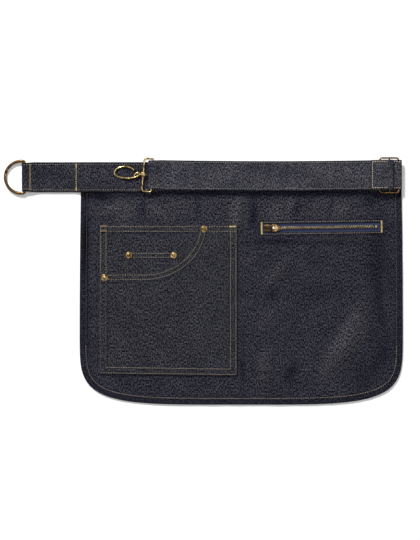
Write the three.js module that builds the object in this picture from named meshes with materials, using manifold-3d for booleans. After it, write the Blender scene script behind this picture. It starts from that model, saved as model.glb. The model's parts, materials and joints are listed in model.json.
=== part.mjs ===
// A waist apron of dark denim, laid flat with its pockets up and its back strap folded over the waistband.
// X runs along the waistband, Y up the panel towards it, and Z up from the surface it lies on.
// The origin is on the underside, in the middle of the panel below the waistband. Lengths are millimetres.
import * as THREE from "three";
import { mergeVertices } from "three/addons/utils/BufferGeometryUtils.js";
import Module from "manifold-3d";

const wasm = await Module();
wasm.setup();

// Cloth thicknesses and the gap that separate pieces keep
const clearance = 0.3;
const panelPly = 1.0;
const pocketPly = 1.0;
const bandPly = 1.2;
const strapPly = 1.8;
const tapePly = 1.0;

// Panel and its hem
const panelWidth = 420;
const panelLength = 276; // from the waistband's lower edge to the bottom hem
const panelFlare = 2.2; // how much further each side stands out at the bottom than at the waistband
const cornerReach = 97; // height over which the sides turn into the bottom
const cornerPower = 4.6; // exponent of the superellipse of the two lower corners
const hemWidth = 9;
const hemThickness = 2.3;
const bandTuck = 30; // how far the panel's top goes up inside the waistband
const clothStep = 16; // spacing of the grid that every draped piece shares
const foldHeight = 3;
const bandSlope = 14; // length of the panel's rise into the waistband
const liftSlope = 5; // length of the rise over a hidden edge
const zipSlope = 10; // length of the rise over the zip's tape

// Waistband and its end, which holds the D-ring
const bandWidth = 39;
const bandShort = 1.6; // how far its right end lies inside the panel's side
const tabLength = 73.6; // from the panel's side to the D-ring's bar
const tabTaper = 14; // length over which the end narrows to fit inside the ring
const bandBend = 9; // radius of the soft bends where the layers come together

// D-ring
const dRingWire = 3.8;
const dRingInside = 38;
const dRingSide = 4.4; // straight stretch between the bar and the round end
const dRingCorner = 3.2;

// Strap
const strapWidth = 38.4;
const strapSag = 1.6; // how far the middle of its run lies below its ends
const strapRise = 2.9; // how far its middle line lies above the waistband's
const strapLanding = 12; // radius of the bend where the strap comes down beside the slider
const strapLandingGap = 15.5; // from the slider's left bar to the middle of that bend
const strapFoldBend = 15; // radius of the bend where the strap comes down beside the clip ring
const strapFoldGap = 14; // from the clip ring's bar to the middle of that bend
const strapTail = 23.5; // from the slider's middle bar to the end of the sewn tail
const strapSeam = 4.5; // length of the sewn end under the slider's right bar

// Slider buckle
const sliderLength = 47.3;
const sliderSpan = 24; // between its two outer bars
const sliderBar = 2.2;
const sliderCorner = 3.4;
const sliderDrop = 0.8; // how far it has slipped below the strap's middle line
const sliderInset = 14.7; // from the waistband's right end to the middle bar
const tailSlack = 2.1; // spare length of the loop round the middle bar
const endSlack = 1.2; // spare length of the fold round the right bar

// Clip ring, swivel and hook
const clipWire = 2.5;
const clipInside = 40.4;
const clipPlay = 1.7; // between the ring's side and the edge of the strap in its fold
const clipDepth = 11.9; // between its hidden bar and its front bar
const clipCorner = 4.2; // of its front corners
const clipBarCorner = 1.8; // of the corners beside the strap
const clipYaw = 5; // degrees that the clip is turned on the waistband
const clipDrop = 1; // how far it has slipped below the strap's middle line
const clipReach = 92.4; // from the panel's left side to the clip ring's hidden bar
const bossLength = 4.8;
const bossWidth = 8.7;
const bossHeight = 5;
const swivelPin = 1.1; // radius
const rivetHeadRadius = 2.1;
const rivetHeadLength = 2.2;
const hookWire = 2.3;
const hookHeadRadius = 2.3;
const hookHeadLength = 2.6;
const hookLength = 31.8; // from the pin's head to the middle of the wire at the hook's tip
const hookWidth = 14.7; // between the middles of the wire on the hook's two sides

// Patch pocket
const pocketWidth = 178.8;
const pocketDepth = 196;
const pocketSlant = 2.4; // how much lower its bottom right corner is than the left one
const pocketFromSide = 25.8; // between the panel's side and the pocket's
const pocketDrop = 42.2; // from the waistband to the pocket's top edge
const mouthFlat = 58.5; // straight stretch of the mouth's lower edge
const mouthWidth = 71.5; // the curved stretch, across
const mouthDepth = 63.3;
const coinWidth = 69.4;
const coinDepth = 88;
const coinDrop = 35.5; // from the pocket's top edge to the coin pocket's
const coinFromSide = 32.6;

// Rivets
const rivetRadius = 4.5;
const rivetHeight = 1.5;
const rivetShank = 1.2; // radius
const rivetShoulder = 0.86; // radius at the edge of the flat top's bevel, as a share of rivetRadius
const rivetTop = 0.5; // radius of the flat top, as a share of rivetRadius
const rivetRim = 0.7; // height of the rim, as a share of rivetHeight
const rivetFromMouth = 5.6; // between a rivet's middle and the edge of the mouth or of the coin pocket
const rivetFromHem = 4; // between a rivet's middle and the coin pocket's top edge
const rivetFromSide = 7; // between a rivet's middle and the pocket's left side

// Zip
const pocketToZip = 33.2; // between the patch pocket and the window
const zipWindowWidth = 11.8;
const zipTilt = 0.8; // degrees that the zip's right end is turned up
const zipFromSide = 28.8; // between the window and the panel's right side
const zipDrop = 45.7; // from the waistband to the middle of the window
const tapeWidth = 26;
const tapeOverlap = 5; // how far the tape runs past each end of the window
const tapeMargin = 1; // flat cloth beyond each end of the tape
const toothPitch = 3;
const toothWidth = 1.7;
const toothReach = 2.1; // from the chain's middle to a tooth's outer end
const toothHeight = 1.7;
const toothStep = 0.15; // how far the closed line of tooth heads stands above and below the teeth
const chainCore = 0.9; // width of that line
const chainEndGap = 8; // from the last tooth to the window's right end
const zipSliderLength = 11.3;
const zipSliderWidth = 11;
const zipSliderPlate = 1.0;
const zipSliderNose = 0.6; // its end over the closed chain as a share of its width
const zipSliderFromEnd = 11.7; // from the window's left end to the slider
const crownWidth = 2;
const crownWall = 0.8;
const crownRoot = 0.4; // how deep its feet are sunk in the plate, and how far it stands in from the end
const pullLength = 13;
const pullWidth = 8.4;
const pullThickness = 1.2;
const pullBar = 1.1; // length of the bar that the crown holds
const pullLift = 0.7; // gap between that bar and the slider's plate
const pullWindow = 3.2; // length of the window behind that bar
const pullWindowWidth = 4.4;
const pullEyeWall = 1.2; // beside that window
const pullShoulder = 1.9; // length over which the pull widens behind it
const pullCorner = 1; // cut off each corner of the tip
const pullSlotWidth = 2.6;
const pullSlotLength = 2.2;
const pullSlotFromTip = 1.4;
const stopLength = 2.4;
const stopWidth = 4.6;

// Places worked out from the sizes
const bandBottom = panelLength / 2;
const bandMiddle = bandBottom + bandWidth / 2;
const bandTop = bandBottom + bandWidth;
const panelTop = bandBottom + bandTuck;
const panelBottom = -panelLength / 2;
const sideTop = panelWidth / 2 - panelFlare;
const zipWindowLength = panelWidth - pocketFromSide - pocketWidth - pocketToZip - zipFromSide;
const bandEnd = sideTop - bandShort;
const plySpacing = bandPly + clearance;
const bandHeight = 2 * bandPly + panelPly + 2 * clearance;
const strapLevel = bandHeight + clearance + strapPly / 2;
const strapSpacing = strapPly + clearance;
const underClip = bandHeight + clearance;

// The folds that the cloth keeps as it lies: middle and size as shares of the panel's width and length,
// measured from the middle of the waistband's lower edge, with the lift as a share of foldHeight
const folds = [
  { across: -0.405, down: 0.085, long: 0.13, wide: 0.065, turn: 35, lift: 0.6 },
  { across: -0.355, down: 0.1, long: 0.11, wide: 0.06, turn: 80, lift: 0.5 },
  { across: -0.255, down: 0.095, long: 0.15, wide: 0.065, turn: -35, lift: 0.55 },
  { across: -0.02, down: 0.13, long: 0.24, wide: 0.065, turn: 82, lift: 0.7 },
  { across: 0.155, down: 0.075, long: 0.12, wide: 0.06, turn: 78, lift: 0.45 },
  { across: 0.3, down: 0.075, long: 0.12, wide: 0.06, turn: 62, lift: 0.6 },
  { across: 0.1, down: 0.38, long: 0.18, wide: 0.07, turn: 52, lift: 0.45 },
  { across: 0.075, down: 0.6, long: 0.15, wide: 0.065, turn: 60, lift: 0.4 },
  { across: 0.07, down: 0.82, long: 0.24, wide: 0.08, turn: 80, lift: 0.5 },
  { across: 0.33, down: 0.7, long: 0.46, wide: 0.13, turn: 58, lift: 0.9 },
];

const denim = { color: 0x2c2e38, roughness: 0.95, metalness: 0 };
const lightDenim = { color: 0x41434d, roughness: 0.95, metalness: 0 };
const tapeNavy = { color: 0x1c2440, roughness: 0.85, metalness: 0 };
const brass = { color: 0xb99a5b, roughness: 0.35, metalness: 1 };
const bronze = { color: 0x6d5733, roughness: 0.4, metalness: 1 };

// A closed mesh as a solid that can be cut and joined
function solidOf(geometry) {
  const bare = geometry.clone();
  bare.deleteAttribute("normal");
  bare.deleteAttribute("uv");
  const merged = mergeVertices(bare, 1e-4);
  const vertProperties = merged.attributes.position.array;
  const triVerts = new Uint32Array(merged.index.array);
  return new wasm.Manifold(new wasm.Mesh({ numProp: 3, vertProperties, triVerts }));
}

function geometryOf(solid) {
  const mesh = solid.getMesh();
  const geometry = new THREE.BufferGeometry();
  geometry.setAttribute("position", new THREE.BufferAttribute(mesh.vertProperties, 3));
  geometry.setIndex(new THREE.BufferAttribute(mesh.triVerts, 1));
  const flat = geometry.toNonIndexed();
  flat.computeVertexNormals();
  return flat;
}

function addPiece(parent, name, geometry, finish) {
  const mesh = new THREE.Mesh(geometry, new THREE.MeshStandardMaterial(finish));
  mesh.name = name;
  parent.add(mesh);
}

// 0 below the start, 1 past the end, and level at both
function smoothStep(value, start, end) {
  const share = Math.min(Math.max((value - start) / (end - start), 0), 1);
  return share * share * (3 - 2 * share);
}

// 1 inside a box, falling to 0 over the slope around it
function plateau(x, y, box, slope) {
  const outX = Math.max(box.left - x, x - box.right, 0);
  const outY = Math.max(box.bottom - y, y - box.top, 0);
  return 1 - smoothStep(Math.hypot(outX, outY), 0, slope);
}

// Half the panel's width at a height, on its straight sides
function halfWidthAt(y) {
  const sideBottom = panelBottom + cornerReach;
  const share = Math.min(Math.max((y - sideBottom) / (panelTop - sideBottom), 0), 1);
  return panelWidth / 2 - panelFlare * share * share;
}

const zipCentre = {
  x: panelWidth / 2 - zipFromSide - zipWindowLength / 2,
  y: bandBottom - zipDrop,
};
const tapeBox = {
  left: zipCentre.x - zipWindowLength / 2 - tapeOverlap,
  right: zipCentre.x + zipWindowLength / 2 + tapeOverlap,
  bottom: zipCentre.y - tapeWidth / 2,
  top: zipCentre.y + tapeWidth / 2,
};
const tiltRise = (zipWindowLength / 2 + tapeOverlap) * Math.sin(THREE.MathUtils.degToRad(zipTilt));
const zipBox = {
  left: tapeBox.left - tapeMargin,
  right: tapeBox.right + tapeMargin,
  bottom: tapeBox.bottom - tiltRise,
  top: tapeBox.top + tiltRise,
};

const pocket = {
  left: -panelWidth / 2 + pocketFromSide,
  right: -panelWidth / 2 + pocketFromSide + pocketWidth,
  top: bandBottom - pocketDrop,
  bottom: bandBottom - pocketDrop - pocketDepth,
};
const coin = {
  left: pocket.left + coinFromSide,
  right: pocket.left + coinFromSide + coinWidth,
  top: pocket.top - coinDrop,
  bottom: pocket.top - coinDrop - coinDepth,
};

// Evenly spaced lines between two limits and the named ones, no two closer than a third of a step
function gridLines(low, high, step, wanted) {
  const count = Math.round((high - low) / step);
  const lines = [...wanted, low, high].sort((a, b) => a - b);
  for (let k = 1; k < count; k++) {
    const line = low + ((high - low) * k) / count;
    if (lines.every((other) => Math.abs(other - line) > step / 3)) lines.push(line);
  }
  return lines.sort((a, b) => a - b);
}

const gridX = gridLines(-panelWidth / 2 - 1, panelWidth / 2 + 1, clothStep, [
  coin.left - liftSlope,
  coin.left,
  coin.right,
  coin.right + liftSlope,
  zipBox.left - zipSlope,
  zipBox.left,
  zipBox.right,
  zipBox.right + zipSlope,
]);
const gridY = gridLines(panelBottom - 1, panelTop, clothStep, [
  coin.bottom - liftSlope,
  coin.bottom,
  zipBox.bottom - zipSlope,
  zipBox.bottom,
  zipBox.top,
  bandBottom - bandSlope,
  bandBottom,
]);

// One fold: a ridge with rounded sides and ends that reaches exactly zero at its edge
function foldLift(fold, x, y) {
  const turn = THREE.MathUtils.degToRad(fold.turn);
  const fromX = x - fold.across * panelWidth;
  const fromY = y - bandBottom + fold.down * panelLength;
  const along = (fromX * Math.cos(turn) + fromY * Math.sin(turn)) / ((fold.long * panelWidth) / 2);
  const aside = (fromY * Math.cos(turn) - fromX * Math.sin(turn)) / ((fold.wide * panelWidth) / 2);
  if (Math.abs(along) >= 1 || Math.abs(aside) >= 1) return 0;
  const ridge = Math.cos((aside * Math.PI) / 2) ** 2;
  const ends = Math.cos((along * Math.PI) / 2) ** 2;
  return fold.lift * foldHeight * ridge * ends;
}

// How far the panel's underside stands off the surface it lies on
function panelRise(x, y) {
  const band = smoothStep(y, bandBottom - bandSlope, bandBottom);
  const zip = plateau(x, y, zipBox, zipSlope);
  const loose = (1 - band) * (1 - zip);
  const wrinkles = folds.reduce((sum, fold) => sum + foldLift(fold, x, y), 0);
  return plySpacing * band + (tapePly + clearance) * zip + wrinkles * loose;
}

// How far the pocket's front layer is pushed up by the coin pocket under it
function coinLift(x, y) {
  return (pocketPly + clearance) * plateau(x, y, { ...coin, top: panelTop }, liftSlope);
}

// The part of a grid that covers a range
function linesOver(lines, low, high) {
  const first = Math.max(lines.findIndex((line) => line > low) - 1, 0);
  const last = lines.findIndex((line) => line >= high);
  return lines.slice(first, (last < 0 ? lines.length : last) + 1);
}

// A closed slab between two height functions, sampled on the shared grid
function slab(box, low, high) {
  const xs = linesOver(gridX, box.left, box.right);
  const ys = linesOver(gridY, box.bottom, box.top);
  const positions = [];
  for (const level of [low, high]) {
    for (const y of ys) {
      positions.push(...xs.flatMap((x) => [x, y, level(x, y)]));
    }
  }
  const columns = xs.length;
  const rows = ys.length;
  const upper = columns * rows;
  const index = [];
  const wall = (a, b) => index.push(a, b, upper + b, a, upper + b, upper + a);
  for (let j = 0; j < rows - 1; j++) {
    for (let i = 0; i < columns - 1; i++) {
      const a = j * columns + i;
      const c = a + columns + 1;
      index.push(a, c, a + 1, a, a + columns, c);
      index.push(upper + a, upper + a + 1, upper + c, upper + a, upper + c, upper + a + columns);
    }
  }
  for (let i = 0; i < columns - 1; i++) {
    wall(i, i + 1);
    wall((rows - 1) * columns + i + 1, (rows - 1) * columns + i);
  }
  for (let j = 0; j < rows - 1; j++) {
    wall((j + 1) * columns, j * columns);
    wall(j * columns + columns - 1, (j + 1) * columns + columns - 1);
  }
  const geometry = new THREE.BufferGeometry();
  geometry.setAttribute("position", new THREE.Float32BufferAttribute(positions, 3));
  geometry.setIndex(index);
  return solidOf(geometry);
}

// The height of one of those functions between the grid's lines, on the slab's own flat triangles
function heightOnGrid(level, x, y) {
  const i = gridX.findIndex((line) => line > x) - 1;
  const j = gridY.findIndex((line) => line > y) - 1;
  const u = (x - gridX[i]) / (gridX[i + 1] - gridX[i]);
  const v = (y - gridY[j]) / (gridY[j + 1] - gridY[j]);
  const near = level(gridX[i], gridY[j]);
  const far = level(gridX[i + 1], gridY[j + 1]);
  if (u > v) {
    const side = level(gridX[i + 1], gridY[j]);
    return near + u * (side - near) + v * (far - side);
  }
  const side = level(gridX[i], gridY[j + 1]);
  return near + v * (side - near) + u * (far - side);
}

// Heights between which a cut goes through every layer
const cutBottom = -1;
const cutTop = 40;
const cutPast = 1; // how far a cutting shape stands out past what it cuts

// Sides of round sections, and stretches along each bent wire
const wireSides = 8;
const holeSides = 12;
const roundSides = 16;
const wireSteps = { dRing: 38, slider: 36, clipRing: 42, hook: 40 };

// An upright prism over a flat outline
function prism(outline, bottom = cutBottom, top = cutTop) {
  const shape = new THREE.Shape(outline);
  const geometry = new THREE.ExtrudeGeometry(shape, { depth: top - bottom, bevelEnabled: false });
  return solidOf(geometry.translate(0, 0, bottom));
}

function boxOutline(box) {
  return [
    new THREE.Vector2(box.left, box.bottom),
    new THREE.Vector2(box.right, box.bottom),
    new THREE.Vector2(box.right, box.top),
    new THREE.Vector2(box.left, box.top),
  ];
}

// A line moved sideways by a distance, to its left when positive, with mitred corners
function offsetLine(points, distance) {
  return points.map((point, k) => {
    const before = points[Math.max(k - 1, 0)];
    const after = points[Math.min(k + 1, points.length - 1)];
    const into = point.clone().sub(before).normalize();
    const out = after.clone().sub(point).normalize();
    const along = into.add(out).normalize();
    const bend = k > 0 && k < points.length - 1 ? along.dot(out) : 1;
    return new THREE.Vector2(point.x - (along.y * distance) / bend, point.y + (along.x * distance) / bend);
  });
}

// The panel's edge from its top left corner, down, round the bottom and up to its top right corner
function panelEdge() {
  const points = [];
  const straightSteps = 4;
  const roundSteps = 40;
  const sideBottom = panelBottom + cornerReach;
  for (let k = 0; k < straightSteps; k++) {
    const y = panelTop + ((sideBottom - panelTop) * k) / straightSteps;
    points.push(new THREE.Vector2(-halfWidthAt(y), y));
  }
  for (let k = 0; k <= roundSteps; k++) {
    const angle = Math.PI * (1 + k / roundSteps);
    const across = Math.cos(angle);
    const down = Math.sin(angle);
    const size = (Math.abs(across) ** cornerPower + Math.abs(down) ** cornerPower) ** (-1 / cornerPower);
    points.push(new THREE.Vector2((panelWidth / 2) * size * across, sideBottom + cornerReach * size * down));
  }
  for (let k = straightSteps - 1; k >= 0; k--) {
    const y = panelTop + ((sideBottom - panelTop) * k) / straightSteps;
    points.push(new THREE.Vector2(halfWidthAt(y), y));
  }
  return points;
}

function tiltZip(outline) {
  const middle = new THREE.Vector2(zipCentre.x, zipCentre.y);
  return outline.map((point) => point.clone().rotateAround(middle, THREE.MathUtils.degToRad(zipTilt)));
}

function makePanel() {
  const everywhere = { left: -panelWidth / 2, right: panelWidth / 2, bottom: panelBottom, top: panelTop };
  const edge = panelEdge();
  const outside = prism(edge);
  const inside = prism(offsetLine(edge, hemWidth));
  const belowBand = prism(
    boxOutline({
      left: -panelWidth,
      right: panelWidth,
      bottom: -panelLength,
      top: bandBottom - clearance,
    }),
  );
  const field = slab(everywhere, panelRise, (x, y) => panelRise(x, y) + panelPly).intersect(outside);
  const hem = slab(everywhere, panelRise, (x, y) => panelRise(x, y) + hemThickness)
    .intersect(outside.subtract(inside))
    .intersect(belowBand);
  const window = {
    left: zipCentre.x - zipWindowLength / 2,
    right: zipCentre.x + zipWindowLength / 2,
    bottom: zipCentre.y - zipWindowWidth / 2,
    top: zipCentre.y + zipWindowWidth / 2,
  };
  return geometryOf(field.add(hem).subtract(prism(tiltZip(boxOutline(window)))));
}

// Points of a strip's line are further apart than this
const shortestStep = 0.3;

// A line round a row of pegs, as a belt runs: each peg has its middle, the belt line's radius about it and
// the way the line turns there, 1 to the left or -1 to the right; a radius of 0 is a plain end point
function beltLine(pegs) {
  const points = [];
  const arcStep = Math.PI / 8;
  let before = null;
  for (let k = 0; k < pegs.length; k++) {
    const peg = pegs[k];
    const next = pegs[k + 1];
    let leaving = before;
    if (next) {
      const apart = Math.hypot(next.x - peg.x, next.z - peg.z);
      const heading = Math.atan2(next.z - peg.z, next.x - peg.x);
      leaving = heading - Math.asin((next.radius * next.turn - peg.radius * peg.turn) / apart);
    }
    const arriving = before === null ? leaving : before;
    let sweep = leaving - arriving;
    sweep -= 2 * Math.PI * Math.round(sweep / (2 * Math.PI));
    if (sweep * peg.turn < -1e-6) sweep += 2 * Math.PI * peg.turn;
    const steps = peg.radius > 0 ? Math.max(1, Math.ceil(Math.abs(sweep) / arcStep)) : 0;
    for (let n = 0; n <= steps; n++) {
      const angle = arriving + (steps ? (sweep * n) / steps : 0);
      const reach = peg.radius * peg.turn;
      points.push(new THREE.Vector2(peg.x + Math.sin(angle) * reach, peg.z - Math.cos(angle) * reach));
    }
    before = leaving;
  }
  return points.filter((point, k) => k === 0 || point.distanceTo(points[k - 1]) > shortestStep);
}

// A line with points added where it crosses each of some distances across, so that it can be bent there
function splitAt(points, stops) {
  return points.flatMap((point, k) => {
    if (k === 0) return [point];
    const from = points[k - 1];
    const between = (stop) => (stop - from.x) * (stop - point.x) < 0;
    const free = (stop) => Math.min(Math.abs(stop - from.x), Math.abs(stop - point.x)) > shortestStep;
    const crossed = stops.filter((stop) => between(stop) && free(stop));
    crossed.sort((a, b) => Math.abs(a - from.x) - Math.abs(b - from.x));
    const added = crossed.map((stop) => from.clone().lerp(point, (stop - from.x) / (point.x - from.x)));
    return [...added, point];
  });
}

function spread(from, to, count) {
  return Array.from({ length: count + 1 }, (_, k) => from + ((to - from) * k) / count);
}

// A flat strip of cloth that follows a line seen from the side, with its edges at edgesAt(x)
function strip(line, thickness, edgesAt) {
  const right = offsetLine(line, -thickness / 2);
  const left = offsetLine(line, thickness / 2);
  const positions = line.flatMap((point, k) => {
    const rightEdges = edgesAt(right[k].x);
    const leftEdges = edgesAt(left[k].x);
    return [
      [right[k].x, rightEdges.near, right[k].y],
      [right[k].x, rightEdges.far, right[k].y],
      [left[k].x, leftEdges.far, left[k].y],
      [left[k].x, leftEdges.near, left[k].y],
    ].flat();
  });
  const index = [];
  for (let k = 0; k < line.length - 1; k++) {
    for (let side = 0; side < 4; side++) {
      const a = 4 * k + side;
      const b = 4 * k + ((side + 1) % 4);
      index.push(a, b, b + 4, a, b + 4, a + 4);
    }
  }
  const end = 4 * (line.length - 1);
  index.push(0, 2, 1, 0, 3, 2, end, end + 1, end + 2, end, end + 2, end + 3);
  const geometry = new THREE.BufferGeometry();
  geometry.setAttribute("position", new THREE.Float32BufferAttribute(positions, 3));
  geometry.setIndex(index);
  return solidOf(geometry);
}

// A round bar along a curve; a curve that comes back to its start becomes a ring with no ends
function barAlong(curve, radius, sides, steps, isRing = false) {
  const section = new THREE.Shape();
  for (let k = 0; k < sides; k++) {
    const angle = (2 * Math.PI * (k + 0.5)) / sides;
    const x = radius * Math.cos(angle);
    const y = radius * Math.sin(angle);
    if (k === 0) section.moveTo(x, y);
    else section.lineTo(x, y);
  }
  const geometry = new THREE.ExtrudeGeometry(section, { steps, extrudePath: curve, bevelEnabled: false });
  if (!isRing) return solidOf(geometry);
  const sideFaces = geometry.groups.find((group) => group.materialIndex === 1);
  const kept = geometry.attributes.position.array.slice(
    sideFaces.start * 3,
    (sideFaces.start + sideFaces.count) * 3,
  );
  const ring = new THREE.BufferGeometry();
  ring.setAttribute("position", new THREE.BufferAttribute(kept, 3));
  return solidOf(ring);
}

// A closed curve round the corners of a flat outline, each rounded, that starts in the middle of a side
function roundedLoop(corners) {
  const curve = new THREE.CurvePath();
  const ends = corners.map((corner, k) => {
    const before = corners[(k + corners.length - 1) % corners.length].at;
    const after = corners[(k + 1) % corners.length].at;
    const back = before.clone().sub(corner.at).normalize();
    const ahead = after.clone().sub(corner.at).normalize();
    const half = back.angleTo(ahead) / 2;
    const cut = corner.radius / Math.tan(half);
    return {
      from: corner.at.clone().addScaledVector(back, cut),
      to: corner.at.clone().addScaledVector(ahead, cut),
    };
  });
  const last = ends[corners.length - 1];
  const start = last.to.clone().lerp(ends[0].from, 0.5);
  let reached = start;
  corners.forEach((corner, k) => {
    curve.add(new THREE.LineCurve3(reached, ends[k].from));
    curve.add(new THREE.QuadraticBezierCurve3(ends[k].from, corner.at, ends[k].to));
    reached = ends[k].to;
  });
  curve.add(new THREE.LineCurve3(reached, start));
  return curve;
}

const dRingBarX = -(sideTop + tabLength);
const dRingBarZ = bandPly + clearance + dRingWire / 2;

// The strip: along under the panel's top, round the D-ring's bar and back over the top
function makeWaistband() {
  const under = bandPly / 2;
  const tabOver = under + plySpacing;
  const over = bandHeight - bandPly / 2;
  const ringFold = dRingWire / 2 + clearance + bandPly / 2;
  const panelSide = -sideTop;
  const line = beltLine([
    { x: bandEnd, z: under, radius: 0, turn: 1 },
    { x: dRingBarX, z: dRingBarZ, radius: ringFold, turn: -1 },
    { x: dRingBarX + 2 * bandBend, z: tabOver + bandBend, radius: bandBend, turn: 1 },
    { x: panelSide - bandBend, z: tabOver + bandBend, radius: bandBend, turn: 1 },
    { x: panelSide - clearance, z: over - bandBend, radius: bandBend, turn: -1 },
    { x: bandEnd, z: over, radius: 0, turn: 1 },
  ]);
  const narrow = (bandWidth - dRingInside) / 2 + 2 * clearance;
  const edgesAt = (x) => {
    const inset = narrow * (1 - smoothStep(x, dRingBarX, dRingBarX + tabTaper));
    return { near: bandBottom + inset, far: bandTop - inset };
  };
  const layers = strip(splitAt(line, spread(dRingBarX, dRingBarX + tabTaper, 4)), bandPly, edgesAt);
  const topFold = prism(
    boxOutline({ left: -sideTop, right: bandEnd, bottom: bandTop - bandPly, top: bandTop }),
    0,
    bandHeight,
  );
  return geometryOf(layers.add(topFold));
}

function makeDRing() {
  const radius = (dRingInside + dRingWire) / 2;
  const curve = new THREE.CurvePath();
  const point = (x, y) => new THREE.Vector3(x, y, 0);
  const corner = dRingCorner;
  curve.add(new THREE.LineCurve3(point(0, 0), point(0, radius - corner)));
  curve.add(
    new THREE.QuadraticBezierCurve3(point(0, radius - corner), point(0, radius), point(-corner, radius)),
  );
  curve.add(new THREE.LineCurve3(point(-corner, radius), point(-dRingSide, radius)));
  const bow = new THREE.EllipseCurve(-dRingSide, 0, radius, radius, Math.PI / 2, (3 * Math.PI) / 2);
  const bowPoints = bow.getPoints(24).map((spot) => point(spot.x, spot.y));
  bowPoints.slice(1).forEach((spot, k) => curve.add(new THREE.LineCurve3(bowPoints[k], spot)));
  curve.add(new THREE.LineCurve3(point(-dRingSide, -radius), point(-corner, -radius)));
  curve.add(
    new THREE.QuadraticBezierCurve3(point(-corner, -radius), point(0, -radius), point(0, -radius + corner)),
  );
  curve.add(new THREE.LineCurve3(point(0, -radius + corner), point(0, 0)));
  return barAlong(curve, dRingWire / 2, wireSides, wireSteps.dRing, true);
}

// Where the ring comes to rest: its round end on the surface, its bar held up in the fold
function dRingTilt() {
  const reach = dRingSide + (dRingInside + dRingWire) / 2;
  return Math.asin((dRingBarZ - dRingWire / 2) / reach);
}

const sliderX = bandEnd - sliderInset;
const leftBarX = sliderX - sliderSpan / 2;
const rightBarX = sliderX + sliderSpan / 2;
const outerBarZ = underClip + strapPly + clearance + sliderBar / 2;
const middleBarZ = outerBarZ + strapSpacing;
const barFold = sliderBar / 2 + clearance + strapPly / 2;
const clipBarX = -sideTop + clipReach;
const clipFold = clipWire / 2 + clearance + strapPly / 2;
const clipBarZ = strapLevel + clipFold;
const clipSlack = (clipInside / 2) * Math.sin(THREE.MathUtils.degToRad(clipYaw));

// The strap's line seen from the side, from its sewn end under the slider to its sewn tail
function strapLine() {
  const landingX = leftBarX - strapLandingGap;
  const landingZ = strapLevel + strapLanding;
  const upper = strapLevel + strapSpacing;
  const whole = beltLine([
    { x: rightBarX - strapSeam, z: strapLevel, radius: 0, turn: 1 },
    { x: rightBarX + endSlack, z: outerBarZ, radius: barFold, turn: 1 },
    { x: rightBarX, z: outerBarZ, radius: barFold, turn: 1 },
    { x: sliderX + tailSlack, z: middleBarZ, radius: barFold + strapSpacing, turn: -1 },
    { x: sliderX, z: middleBarZ, radius: barFold + strapSpacing, turn: -1 },
    { x: leftBarX, z: outerBarZ, radius: barFold, turn: 1 },
    { x: landingX, z: landingZ, radius: strapLanding, turn: -1 },
    { x: clipBarX + clipSlack, z: clipBarZ, radius: clipFold, turn: -1 },
    { x: clipBarX - clipSlack, z: clipBarZ, radius: clipFold, turn: -1 },
    { x: clipBarX + clipSlack, z: clipBarZ, radius: clipFold, turn: -1 },
    { x: clipBarX + strapFoldGap, z: upper + strapFoldBend, radius: strapFoldBend, turn: 1 },
    { x: landingX, z: landingZ, radius: strapLanding - strapSpacing, turn: 1 },
    { x: leftBarX, z: outerBarZ, radius: barFold + strapSpacing, turn: -1 },
    { x: sliderX, z: middleBarZ, radius: barFold, turn: 1 },
    { x: sliderX + tailSlack, z: middleBarZ, radius: barFold, turn: 1 },
    { x: sliderX, z: middleBarZ, radius: barFold, turn: 1 },
    { x: leftBarX, z: outerBarZ, radius: barFold + 2 * strapSpacing, turn: 1 },
    { x: landingX, z: landingZ, radius: strapLanding - 2 * strapSpacing, turn: -1 },
    { x: landingX - strapLanding, z: upper + strapSpacing, radius: 0, turn: 1 },
  ]);
  const tailX = sliderX - strapTail;
  const last = whole.length - 1;
  let cut = last;
  while (whole[cut - 1].x < tailX) cut--;
  const share = (tailX - whole[cut - 1].x) / (whole[cut].x - whole[cut - 1].x);
  return [...whole.slice(0, cut), whole[cut - 1].clone().lerp(whole[cut], share)];
}

function makeStrap() {
  const narrow = (strapWidth - clipInside) / 2 + clipPlay;
  const middle = (clipBarX + sliderX) / 2;
  const halfRun = (sliderX - clipBarX) / 2;
  const edgesAt = (x) => {
    const fromMiddle = Math.min(Math.abs(x - middle) / halfRun, 1);
    const centre = bandMiddle + strapRise - strapSag * (1 - fromMiddle * fromMiddle);
    const half = strapWidth / 2 - narrow * (1 - smoothStep(x, clipBarX, clipBarX + tabTaper));
    return { near: centre - half, far: centre + half };
  };
  const stops = [...spread(clipBarX, clipBarX + tabTaper, 4), ...spread(middle - halfRun / 1.3, sliderX, 9)];
  return geometryOf(strip(splitAt(strapLine(), stops), strapPly, edgesAt));
}

// A rounded frame lying flat, with a middle bar that stands a little higher than its two ends
function makeSlider() {
  const halfSpan = sliderSpan / 2;
  const halfLength = (sliderLength - sliderBar) / 2;
  const corner = (x, y) => ({ at: new THREE.Vector3(x, y, 0), radius: sliderCorner });
  const frame = barAlong(
    roundedLoop([
      corner(halfSpan, -halfLength),
      corner(halfSpan, halfLength),
      corner(-halfSpan, halfLength),
      corner(-halfSpan, -halfLength),
    ]),
    sliderBar / 2,
    wireSides,
    wireSteps.slider,
    true,
  );
  const lift = middleBarZ - outerBarZ;
  const reach = halfLength + sliderBar / 4;
  const middle = new THREE.LineCurve3(new THREE.Vector3(0, -reach, lift), new THREE.Vector3(0, reach, lift));
  const raised = [-halfLength, halfLength].reduce((joined, y) => {
    const post = new THREE.CylinderGeometry(sliderBar / 2, sliderBar / 2, lift, wireSides);
    return joined.add(solidOf(post.rotateX(Math.PI / 2).translate(0, y, lift / 2)));
  }, barAlong(middle, sliderBar / 2, wireSides, 1));
  return geometryOf(frame.add(raised));
}

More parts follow.
